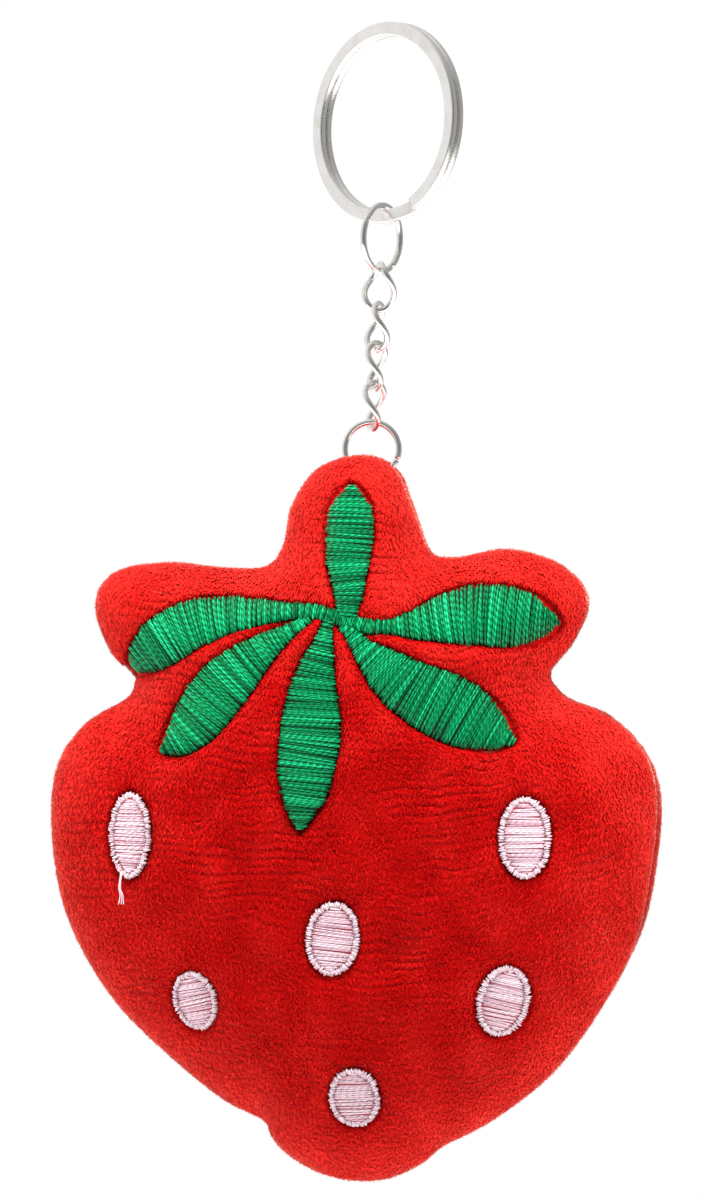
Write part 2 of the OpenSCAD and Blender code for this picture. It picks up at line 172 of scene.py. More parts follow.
def grid_faces(rows: int, cols: int, wrap_rows: bool = False, wrap_cols: bool = False) -> np.ndarray:
    """Quads of a grid of rows by cols points numbered row by row, joined round where it wraps."""
    r = np.arange(rows if wrap_rows else rows - 1)[:, None]
    c = np.arange(cols if wrap_cols else cols - 1)[None, :]
    r2, c2 = (r + 1) % rows, (c + 1) % cols
    return np.stack([r * cols + c, r * cols + c2, r2 * cols + c2, r2 * cols + c], -1).reshape(-1, 4)


def mesh_object(
    name: str,
    points: np.ndarray,
    faces: list[np.ndarray],
    values: dict[str, np.ndarray] | None = None,
) -> bpy.types.Object:
    """Puts points and faces into a new object at the origin.

    Args:
        name: The object's name.
        points: Points in millimetres, one row each.
        faces: Arrays of faces with three or four corners each.
        values: Named numbers for every point, kept as attributes.

    Returns:
        The new object.
    """
    mesh = bpy.data.meshes.new(name)
    corners = np.concatenate([f.ravel() for f in faces]).astype(np.int32)
    sizes = np.concatenate([np.full(len(f), f.shape[1]) for f in faces])
    starts = np.concatenate([[0], np.cumsum(sizes)[:-1]]).astype(np.int32)
    mesh.vertices.add(len(points))
    mesh.vertices.foreach_set("co", (np.asarray(points, float) * MM).astype(np.float32).ravel())
    mesh.loops.add(len(corners))
    mesh.loops.foreach_set("vertex_index", corners)
    mesh.polygons.add(len(sizes))
    mesh.polygons.foreach_set("loop_start", starts)
    mesh.update(calc_edges=True)
    mesh.polygons.foreach_set("use_smooth", np.full(len(sizes), True))
    for key, value in (values or {}).items():
        attribute = mesh.attributes.new(key, "FLOAT", "POINT")
        attribute.data.foreach_set("value", np.asarray(value, np.float32).ravel())
    obj = bpy.data.objects.new(name, mesh)
    bpy.context.scene.collection.objects.link(obj)
    return obj


def tube_points(path: np.ndarray, radius: np.ndarray, sides: int, squash: float = 1.0) -> np.ndarray:
    """Rings of points round paths: centre + radius (cos a * side + sin a * squash * lift), lift nearest to Y.

    Args:
        path: Centre lines, as (tubes, steps, 3).
        radius: Radius at each step, as (tubes, steps).
        sides: Points in one ring.
        squash: Height of the section over its width.

    Returns:
        Points as (tubes, steps, sides, 3).
    """
    along = unit(np.gradient(path, axis=1))
    side = unit(np.cross(along, (0.0, 1.0, 0.0)))
    lift = np.cross(side, along)
    a = (np.arange(sides) + 0.5) * TURN / sides - TURN / 4
    ring = np.cos(a)[:, None] * side[:, :, None] + np.sin(a)[:, None] * squash * lift[:, :, None]
    return path[:, :, None] + radius[:, :, None, None] * ring


def raised(p: np.ndarray, height: np.ndarray) -> np.ndarray:
    """Points (x, z) lifted to points (x, height, z)."""
    return np.stack([p[..., 0], height, p[..., 1]], -1)


def yawed(points: np.ndarray, degrees: float) -> np.ndarray:
    """Points turned about the vertical."""
    c, s = math.cos(math.radians(degrees)), math.sin(math.radians(degrees))
    return points.reshape(-1, 3) @ np.array([[c, s, 0], [-s, c, 0], [0, 0, 1]])


def closed_skin(rows: np.ndarray) -> tuple[np.ndarray, list[np.ndarray]]:
    """Closes rings of points into one skin, with a pole in the middle of the first ring and of the last.

    Args:
        rows: Rings as (rows, points in a ring, 3).

    Returns:
        The points, ring by ring and then the two poles, and the faces.
    """
    n = rows.shape[1]
    points = np.concatenate([rows.reshape(-1, 3), rows[:1].mean(1), rows[-1:].mean(1)])
    k, nxt, last = np.arange(n), (np.arange(n) + 1) % n, (len(rows) - 1) * n
    near = np.stack([np.full(n, len(points) - 2), nxt, k], -1)
    far = np.stack([np.full(n, len(points) - 1), last + k, last + nxt], -1)
    return points, [grid_faces(len(rows), n, wrap_cols=True), near, far]


def flipped(faces: list[np.ndarray]) -> list[np.ndarray]:
    """The same faces turned inside out."""
    return [x[:, ::-1] for x in faces]


def tube_faces(tubes: int, steps: int, sides: int) -> list[np.ndarray]:
    """Side quads and end caps of many tubes whose points are numbered tube by tube, ring by ring."""
    one = grid_faces(steps, sides, wrap_cols=True)
    first = np.arange(tubes)[:, None, None] * steps * sides
    walls = (one[None] + first).reshape(-1, 4)
    fan = np.stack([np.zeros(sides - 2, int), np.arange(2, sides), np.arange(1, sides - 1)], -1)
    low = (fan[None] + first).reshape(-1, 3)
    high = (fan[None, :, ::-1] + first + (steps - 1) * sides).reshape(-1, 3)
    return [walls[:, ::-1], low[:, ::-1], high[:, ::-1]]


# Finishes


class Nodes:
    """A node tree, filled node by node."""

    def __init__(self, owner: bpy.types.ID) -> None:
        """Empties the tree of a material or a world."""
        owner.use_nodes = True
        self.tree = owner.node_tree
        self.tree.nodes.clear()

    def node(self, kind: str, **settings: object) -> bpy.types.Node:
        """Adds a node; a setting names a property of the node, or else an input socket."""
        made = self.tree.nodes.new(kind)
        for key, value in settings.items():
            if hasattr(made, key):
                setattr(made, key, value)
            else:
                made.inputs[key.replace("_", " ")].default_value = value
        return made

    def join(self, source: bpy.types.NodeSocket, target: bpy.types.NodeSocket) -> None:
        """Links one socket to another."""
        self.tree.links.new(source, target)

    def sum_up(self, operation: str, *terms: bpy.types.NodeSocket | float) -> bpy.types.NodeSocket:
        """A math node's result from its terms, each a socket or a number."""
        made = self.node("ShaderNodeMath", operation=operation)
        for target, term in zip(made.inputs, terms):
            if isinstance(term, bpy.types.NodeSocket):
                self.join(term, target)
            else:
                target.default_value = term
        return made.outputs[0]

    def span(
        self, source: bpy.types.NodeSocket, low: float, high: float, to_low: float, to_high: float
    ) -> bpy.types.NodeSocket:
        """Moves a number from one range to another."""
        made = self.node("ShaderNodeMapRange")
        for key, given in zip(("From Min", "From Max", "To Min", "To Max"), (low, high, to_low, to_high)):
            made.inputs[key].default_value = given
        self.join(source, made.inputs["Value"])
        return made.outputs[0]


class Shader(Nodes):
    """One material, built round its surface shader."""

    def __init__(self, name: str) -> None:
        """Starts an empty material with its surface shader."""
        self.material = bpy.data.materials.new(name)
        super().__init__(self.material)
        self.surface = self.node("ShaderNodeBsdfPrincipled")
        self.join(self.surface.outputs[0], self.node("ShaderNodeOutputMaterial").inputs["Surface"])

    def set(self, **values: object) -> None:
        """Sets plain values on the surface shader."""
        for key, value in values.items():
            self.surface.inputs[key.replace("_", " ")].default_value = value

    def value(self, name: str) -> bpy.types.NodeSocket:
        """The number that the mesh keeps under this name."""
        return self.node("ShaderNodeAttribute", attribute_name=name).outputs["Fac"]

    def place(self, scale: tuple[float, float, float]) -> bpy.types.NodeSocket:
        """Object coordinates, times scale."""
        mapping = self.node("ShaderNodeMapping")
        mapping.inputs["Scale"].default_value = scale
        self.join(self.node("ShaderNodeTexCoord").outputs["Object"], mapping.inputs["Vector"])
        return mapping.outputs[0]

    def noise(self, scale: tuple[float, float, float], detail: float = 3.0) -> bpy.types.NodeSocket:
        """Noise of one crest per unit of the scaled object coordinates."""
        made = self.node("ShaderNodeTexNoise")
        made.inputs["Scale"].default_value = 1.0
        made.inputs["Detail"].default_value = detail
        self.join(self.place(scale), made.inputs["Vector"])
        return made.outputs["Fac"]

    def ramp(
        self, source: bpy.types.NodeSocket, stops: list[tuple[float, tuple[float, float, float]]]
    ) -> bpy.types.NodeSocket:
        """Colours along a number, as (place, colour) stops."""
        made = self.node("ShaderNodeValToRGB")
        ramp = made.color_ramp
        while len(ramp.elements) < len(stops):
            ramp.elements.new(0.5)
        for element, (at, colour) in zip(ramp.elements, stops):
            element.position = at
            element.color = (*colour, 1)
        self.join(source, made.inputs["Fac"])
        return made.outputs["Color"]

    def mix(self, share: bpy.types.NodeSocket, a: object, b: object) -> bpy.types.NodeSocket:
        """Blends two colours, each a socket or a colour, by a share."""
        made = self.node("ShaderNodeMix", data_type="RGBA")
        self.join(share, made.inputs[0])
        for socket, given in ((made.inputs[6], a), (made.inputs[7], b)):
            if isinstance(given, bpy.types.NodeSocket):
                self.join(given, socket)
            else:
                socket.default_value = (*given, 1)
        return made.outputs[2]

    def bump(self, height: bpy.types.NodeSocket, depth: float, strength: float = 1.0) -> None:
        """Raises the surface by height times depth, in millimetres."""
        made = self.node("ShaderNodeBump")
        made.inputs["Distance"].default_value = depth * MM
        made.inputs["Strength"].default_value = strength
        self.join(height, made.inputs["Height"])
        self.join(made.outputs[0], self.surface.inputs["Normal"])


@dataclass(frozen=True)
class PlushFinish:
    """Dyed velvet pile whose colour carries painted light: deep red in painted shade, coral under painted rim light and
    top light, with its creases between rows painted darker.
    """

    name: str
    # Ramp stops: deep for painted shade (also in the creases and the random fibre tone), middle for the pile's own red,
    # bright for painted rim and top light.
    deep: tuple[float, float, float] = (0.30, 0.0015, 0.0015)
    middle: tuple[float, float, float] = (0.54, 0.0032, 0.003)
    bright: tuple[float, float, float] = (0.97, 0.030, 0.022)
    roughness: float = 0.8
    row_depth: float = 0.3

    def material(self) -> bpy.types.Material:
        """Colour follows the painted light and shade value; creases lie where cos(2 pi rows) is highest, painted darker
        and bumped as deep as their strength.
        """
        s = Shader(self.name)
        wave = s.sum_up("COSINE", s.sum_up("MULTIPLY", s.value("rows"), TURN))
        crease = s.sum_up("MULTIPLY", s.span(wave, 0.2, 1.0, 0.0, 1.0), s.value("strength"))
        # Painted light and shade: the shade value runs from deep red in painted shade to coral in painted rim and top
        # light.
        colour = s.ramp(s.value("shade"), [(0.0, self.deep), (0.4, self.middle), (1.0, self.bright)])
        dye = s.span(s.noise((150, 150, 150), 2), 0.3, 0.75, 0.0, 0.5)
        colour = s.mix(dye, colour, self.middle)
        fibre = s.span(s.noise((2600, 2600, 1100), 3), 0.35, 0.7, 0.22, 0.0)
        colour = s.mix(fibre, colour, self.deep)
        # Painted shade: the colour darkens towards deep red along each crease.
        colour = s.mix(s.span(crease, 0.0, 1.0, 0.0, 0.75), colour, self.deep)
        s.join(colour, s.surface.inputs["Base Color"])
        s.set(Roughness=self.roughness, Sheen_Weight=1.0, Sheen_Roughness=0.3)
        s.set(Sheen_Tint=(1.0, 0.42, 0.33, 1), Specular_IOR_Level=0.05)
        s.bump(s.span(crease, 0.0, 1.0, 1.0, 0.0), self.row_depth)
        return s.material


@dataclass(frozen=True)
class ThreadFinish:
    """Shiny two-ply thread; the plies cross it once every turn."""

    name: str
    dark: tuple[float, float, float]
    base: tuple[float, float, float]
    light: tuple[float, float, float]
    roughness: float = 0.34
    sheen: float = 0.1
    turn: float = 0.9
    # How dark the painted shade in the groove between the plies is.
    ply_groove_shade: float = 0.5
    gleam: tuple[float, float, float] = (1.0, 1.0, 1.0)

    def material(self) -> bpy.types.Material:
        """Each thread has its own random shade; the groove between its plies is painted darker as painted shade:
        sin(along / turn + around).
        """
        s = Shader(self.name)
        colour = s.ramp(s.value("shade"), [(0.0, self.dark), (0.5, self.base), (1.0, self.light)])
        round_it = s.span(s.value("around"), 0.0, 1.0, 0.0, 2 * TURN)
        wave = s.sum_up("SINE", s.sum_up("MULTIPLY_ADD", s.value("along"), TURN / self.turn, round_it))
        # Painted shade: the colour darkens in the groove between the plies.
        ply = s.span(wave, -0.9, 0.6, self.ply_groove_shade, 0.0)
        colour = s.mix(ply, colour, self.dark)
        filaments = s.noise((2600, 2600, 2600), 2)
        colour = s.mix(s.span(filaments, 0.45, 0.75, 0.0, 0.25), colour, self.dark)
        s.join(colour, s.surface.inputs["Base Color"])
        s.join(s.span(filaments, 0.3, 0.7, self.roughness - 0.08, self.roughness + 0.12), s.surface.inputs["Roughness"])
        s.set(Specular_IOR_Level=0.6, Specular_Tint=(*self.gleam, 1))
        s.set(Sheen_Weight=self.sheen, Sheen_Roughness=0.4)
        s.bump(wave, 0.04)
        return s.material


@dataclass(frozen=True)
class MetalFinish:
    """Bright nickel plate with rubbed spots and fine scratches."""

    name: str = "nickel_plate"
    colour: tuple[float, float, float] = (0.93, 0.91, 0.88)
    dull: tuple[float, float, float] = (0.84, 0.81, 0.78)
    roughness: float = 0.14

    def material(self) -> bpy.types.Material:
        """Roughness wanders softly, and thin scratches run along the wire."""
        s = Shader(self.name)
        wear = s.noise((420, 420, 420), 4)
        scratches = s.noise((5200, 700, 5200), 3)
        s.join(s.ramp(wear, [(0.42, self.colour), (0.72, self.dull)]), s.surface.inputs["Base Color"])
        s.join(s.span(wear, 0.35, 0.7, self.roughness, self.roughness + 0.16), s.surface.inputs["Roughness"])
        s.set(Metallic=1.0)
        s.bump(scratches, 0.02, 0.5)
        return s.material


@dataclass(frozen=True)
class WovenFinish:
    """Narrow woven tape or loose white fibre, told apart by the size of its pattern."""

    name: str
    colour: tuple[float, float, float]
    shadow: tuple[float, float, float]
    per_metre: float
    depth: float

    def material(self) -> bpy.types.Material:
        """Crossed bands of thread, darker between them."""
        s = Shader(self.name)
        warp = s.node("ShaderNodeTexWave", wave_type="BANDS", bands_direction="X")
        weft = s.node("ShaderNodeTexWave", wave_type="BANDS", bands_direction="Z")
        for band in (warp, weft):
            band.inputs["Scale"].default_value = self.per_metre
            band.inputs["Distortion"].default_value = 1.5
            s.join(s.place((1, 1, 1)), band.inputs["Vector"])
        weave = s.sum_up("MULTIPLY", warp.outputs["Fac"], weft.outputs["Fac"])
        s.join(s.ramp(weave, [(0.1, self.shadow), (0.6, self.colour)]), s.surface.inputs["Base Color"])
        s.set(Roughness=0.85, Sheen_Weight=0.2)
        s.bump(weave, self.depth)
        return s.material


def dress(obj: bpy.types.Object, material: bpy.types.Material) -> None:
    """Gives the object this one material."""
    obj.data.materials.clear()
    obj.data.materials.append(material)


def seat(obj: bpy.types.Object, material: bpy.types.Material, body: str, slot: str, *nodes: str) -> None:
    """Dresses the piece, rides it on its body and stands it for its CAD nodes."""
    dress(obj, material)
    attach(obj, body)
    if nodes:
        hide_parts(*nodes)
    log.info("%s on %s: %d faces", obj.name, body, len(obj.data.polygons))


# The fruit


@dataclass
class Leaf:
    """One satin-stitched leaf: stations (x, z, half width) along its middle line."""

    name: str
    stations: tuple[tuple[float, float, float], ...]

    def line(self, steps: int = 24) -> np.ndarray:
        """The smooth middle line with its half widths."""
        return catmull(np.array(self.stations), steps, False)

    def distance(self, p: np.ndarray) -> np.ndarray:
        """Distance from p to the leaf's edge, less than zero inside: the least of |p - centre| - half width."""
        line = self.line(8)
        return (np.linalg.norm(p[:, None] - line[None, :, :2], axis=-1) - line[:, 2]).min(1)


@dataclass
class Seed:
    """One embroidered seed: an oval whose top leans to the left by this many degrees."""

    name: str
    x: float
    z: float
    width: float
    height: float
    lean: float

    def axes(self) -> np.ndarray:
        """The oval's short and long directions, as rows."""
        a = math.radians(self.lean)
        return np.array([[math.cos(a), math.sin(a)], [-math.sin(a), math.cos(a)]])

    def distance(self, p: np.ndarray) -> np.ndarray:
        """Rough distance from p to the oval, less than zero inside."""
        q = (p - (self.x, self.z)) @ self.axes().T / (self.width / 2, self.height / 2)
        return (np.linalg.norm(q, axis=1) - 1) * min(self.width, self.height) / 2


LEAVES = (
    Leaf("leaf_top", (
        (-1.9, -1.6, 0.25), (-1.8, -3.4, 1.9), (-1.8, -5.6, 3), (-1.7, -8.9, 3.2), (-1.8, -12.1, 2.9),
        (-1.5, -14.5, 2.4), (-1.2, -17, 1.9), (-1.3, -18.8, 1.5), (-1.3, -19.9, 1.3),
    )),
    Leaf("leaf_left", (
        (2.4, -21.4, 0.8), (-2.4, -20.2, 0.9), (-5.8, -19.4, 0.9), (-9.4, -19.6, 1.1), (-14.5, -20.1, 1.9),
        (-19.4, -20.9, 2.8), (-23.8, -22.4, 3.4), (-27.9, -25.1, 3.4), (-30.9, -27.6, 2), (-32, -28.9, 0.3),
    )),
    Leaf("leaf_right", (
        (1.6, -21.1, 0.8), (5.1, -21.1, 1.05), (8.6, -20.5, 2.1), (12.2, -19.6, 3.3), (16, -18.9, 4),
        (19.9, -18.9, 4.2), (23.4, -19.1, 3.6), (25.9, -19.3, 2.1), (27.9, -19.3, 0.25),
    )),
    Leaf("leaf_lower_left", (
        (-6.4, -20.6, 0.5), (-8.3, -21.8, 0.8), (-11.1, -23.7, 1.5), (-14.2, -26.4, 2.7), (-17.1, -29.4, 3.6),
        (-19.7, -32.7, 3.9), (-21.9, -35.9, 3.5), (-24.1, -38.3, 2.3), (-26.5, -39.9, 0.3),
    )),
    Leaf("leaf_bottom", (
        (-3.7, -20.7, 0.7), (-4, -21.8, 0.8), (-4.4, -24.4, 1.5), (-5, -27.8, 2.6), (-5.3, -32.2, 3.6),
        (-5.3, -36.6, 4.1), (-5.6, -40.5, 4), (-5.8, -44.4, 3.2), (-6, -47.5, 1.7), (-6, -49.8, 0.25),
    )),
    Leaf("leaf_lower_right", (
        (-1.8, -21.2, 0.6), (-0.6, -22.2, 0.8), (1.5, -24.5, 1.5), (4.4, -26.9, 2.9), (7.7, -29.2, 3.8),
        (11.8, -31.2, 4.5), (15.6, -32.9, 4.4), (18.8, -34.5, 3.2), (21.1, -35.6, 1.7), (22.7, -36.3, 0.25),
    )),
)

SEEDS = (
    Seed("seed_upper_left", -30.2, -51.9, 6.1, 11.9, 2),
    Seed("seed_upper_right", 25, -49.4, 7.2, 11.3, 3),
    Seed("seed_middle", -0.8, -64.6, 7.5, 10.2, -3),
    Seed("seed_lower_left", -20.1, -74.5, 6.4, 8.4, 14),
    Seed("seed_lower_right", 23, -72.2, 7.1, 10, -12),
    Seed("seed_bottom", 2.9, -86.8, 7.2, 8.3, 6),
)


@dataclass
class FruitForm:
    """The stuffed shape that the cover, pile and embroidery share.

    The height over the middle plane grows from the seam as a dome of the smooth distance from the seam.
    """

    hang_z: float
    thickness: float = 34.0
    dome_reach: float = 25.0
    dome_lean: float = 0.72
    cloth: float = 1.2
    seam_dip: float = 0.8
    seam_roll: float = 1.9
    seam_air: float = 0.05
    allowance: float = 3.6
    nap_height: float = 0.6
    edge_pull: float = 0.3
    middle: tuple[float, float] = (-1.0, -39.0)
    crown: tuple[float, float] = (0.0, 1.8)
    opening: tuple[float, float] = (1.5, 6.75)
    seam: np.ndarray = field(init=False)
    segments: tuple[np.ndarray, np.ndarray] = field(init=False)

    def __post_init__(self) -> None:
        """Works out the seam once."""
        self.seam = catmull(np.array(SEAM_POINTS), 10, True)
        coarse = catmull(np.array(SEAM_POINTS), 4, True)
        self.segments = (coarse, np.roll(coarse, -1, axis=0))

    def outward(self) -> np.ndarray:
        """Unit vectors out of the fruit along the seam: the seam's direction turned a quarter left."""
        t = np.roll(self.seam, -1, 0) - np.roll(self.seam, 1, 0)
        return unit(np.stack([-t[:, 1], t[:, 0]], -1))

    def edge_distance(self, p: np.ndarray) -> np.ndarray:
        """Smooth distance from the seam: the root of 2 over the seam's integral of 1 / distance cubed.

        Args:
            p: Points (x, z), one row each.

        Returns:
            The distance of each point, zero on the seam.
        """
        a, b = self.segments
        length = np.linalg.norm(b - a, axis=1)
        along = (b - a) / length[:, None]
        out = np.empty(len(p))
        for start in range(0, len(p), 20000):
            q = p[start : start + 20000, None] - a[None]
            before = -(q * along).sum(-1)
            after = before + length
            off = np.maximum((q * q).sum(-1) - before**2, 1e-4)
            pull = (after / np.sqrt(off + after**2) - before / np.sqrt(off + before**2)) / off
            out[start : start + 20000] = np.sqrt(2 / pull.sum(1))
        return out

    def gap(self, p: np.ndarray) -> np.ndarray:
        """Half the gap between the panels: a hair all over, and the opening for the base ring at the crown."""
        share = np.abs(p[:, 0] - self.crown[0]) / self.opening[1]
        down = self.crown[1] - p[:, 1] - self.seam_dip - self.allowance - 0.7
        wide = np.where(share < 1, (1 - np.minimum(share, 1) ** 4) ** 2, 0) * (1 - smoothstep(down / 12))
        return self.seam_air + (self.opening[0] - self.seam_air) * wide

    def stitched(self, p: np.ndarray) -> np.ndarray:
        """Distance from the nearest leaf or seed, less than zero inside."""
        return np.min([shape.distance(p) for shape in (*LEAVES, *SEEDS)], axis=0)

    def height(self, p: np.ndarray, under: float = 0.0) -> np.ndarray:
        """Height of the plain dome over the middle plane.

        Args:
            p: Points (x, z), one row each.
            under: How far the surface lies under the cloth's face.

        Returns:
            One height for each point: gap + roll + top * (1 - (1 - u)^2)^lean, u the share of the reach.
        """
        top = self.thickness / 2 - self.seam_roll - self.seam_air - under
        u = np.clip((self.edge_distance(p) - under) / (self.dome_reach - under), 0, 1)
        return self.gap(p) + self.seam_roll + top * (1 - (1 - u) ** 2) ** self.dome_lean

    def relief(self, p: np.ndarray, side: Side) -> np.ndarray:
        """What stuffing and stitching add to the dome.

        Soft lumps, the hollow that the embroidery pulls in, and puckers that run in from the seam at the tip
        and down both flanks: cos of the angle about the middle, fading with the distance from the edge.
        """
        seed = 11 if side is Side.FRONT else 12
        edge = self.edge_distance(p)
        lumps = (0.32 * ripple(p, 13, seed) + 0.16 * ripple(p, 6, seed + 5)) * smoothstep(edge / 9)
        angle = np.arctan2(p[:, 1] - self.middle[1], p[:, 0] - self.middle[0])
        folds = ripple(np.stack([angle * 45, 0 * angle], -1), 6.5, seed + 9)
        where = 0.35 + smoothstep((-p[:, 1] - 80) / 12) + 0.5 * smoothstep((p[:, 0] - 20) / 14)
        puckers = -0.34 * where * np.maximum(folds, -0.2) * np.exp(-edge / 4.5) * smoothstep(edge / 1.2)
        if side is Side.BACK:
            return lumps + puckers
        return lumps + puckers - 0.6 * (1 - smoothstep(self.stitched(p) / 2.2))

    def face(self, side: Side, rings: int, rolls: int, under: float = 0.0) -> np.ndarray:
        """Points of one face from its middle to the valley of the seam.

        Args:
            side: Front or back.
            rings: Rings from the middle to the edge, closer together towards it.
            rolls: Rings round the rolled edge.
            under: How far the surface lies under the cloth's face.

        Returns:
            Points as (rings + rolls, points along the seam, 3).
        """
        out = self.outward()
        rim = self.seam - out * under
        share = np.sin(np.linspace(0.0, 1.0, rings + 1)[1:] * math.pi / 2)[:, None, None]
        flat = np.array(self.middle) + (rim[None] - self.middle) * share
        p = flat.reshape(-1, 2)
        tall = self.height(p, under) + self.relief(p, side)
        face = raised(p, tall).reshape(rings, -1, 3)
        if rolls:
            a = (np.arange(1, rolls + 1) / rolls * math.pi / 2)[:, None, None]
            roll = self.seam - out * self.seam_dip * (1 - np.cos(a))
            up = self.gap(roll.reshape(-1, 2)).reshape(rolls, -1) + self.seam_roll * (1 - np.sin(a[..., 0]))
            face = np.concatenate([face, raised(roll, up)])
        return face

    def nap(self, side: Side, rings: int, rolls: int) -> tuple[np.ndarray, np.ndarray, np.ndarray]:
        """The face raised by its dense pile, which is pressed flat at the seam and under the embroidery.

        Args:
            side: Front or back.
            rings: Rings from the middle to the edge.
            rolls: Rings round the rolled edge.

        Returns:
            Points and outward unit vectors as (rings + rolls, points along the seam, 3), and how near each
            row is to the seam's valley, 0 to 1.
        """
        grid = self.face(side, rings, rolls)
        along = np.roll(grid, -1, 1) - np.roll(grid, 1, 1)
        normal = unit(np.cross(np.gradient(grid, axis=0), along))
        near = np.concatenate([np.zeros(rings), np.arange(1, rolls + 1) / rolls])
        thick = self.nap_height * (1 - smoothstep((near - 0.3) / 0.6))[:, None] * np.ones(grid.shape[:2])
        p = grid[..., [0, 2]]
        if side is Side.FRONT:
            thick *= smoothstep((self.stitched(p.reshape(-1, 2)).reshape(thick.shape) - 0.05) / 0.45)
        pull = self.edge_pull if side is Side.BACK else -self.edge_pull
        flank = pull * np.exp(-(((p[..., 1] + 51) / 12) ** 4)) * smoothstep((p[..., 0] - 30) / 6)
        flank *= (1 - smoothstep((near - 0.5) / 0.5))[:, None]
        shift = self.outward()[None] * flank[..., None]
        grid = grid + normal * thick[..., None]
        grid[..., 0] += shift[..., 0]
        grid[..., 2] += shift[..., 1]
        return grid, normal, near

    def to_frame(self, points: np.ndarray, side: Side) -> np.ndarray:
        """Heights become -Y in front and +Y behind, and Z starts at the base ring's lowest wire."""
        return points * (1, side.value, 1) + (0, 0, self.hang_z)


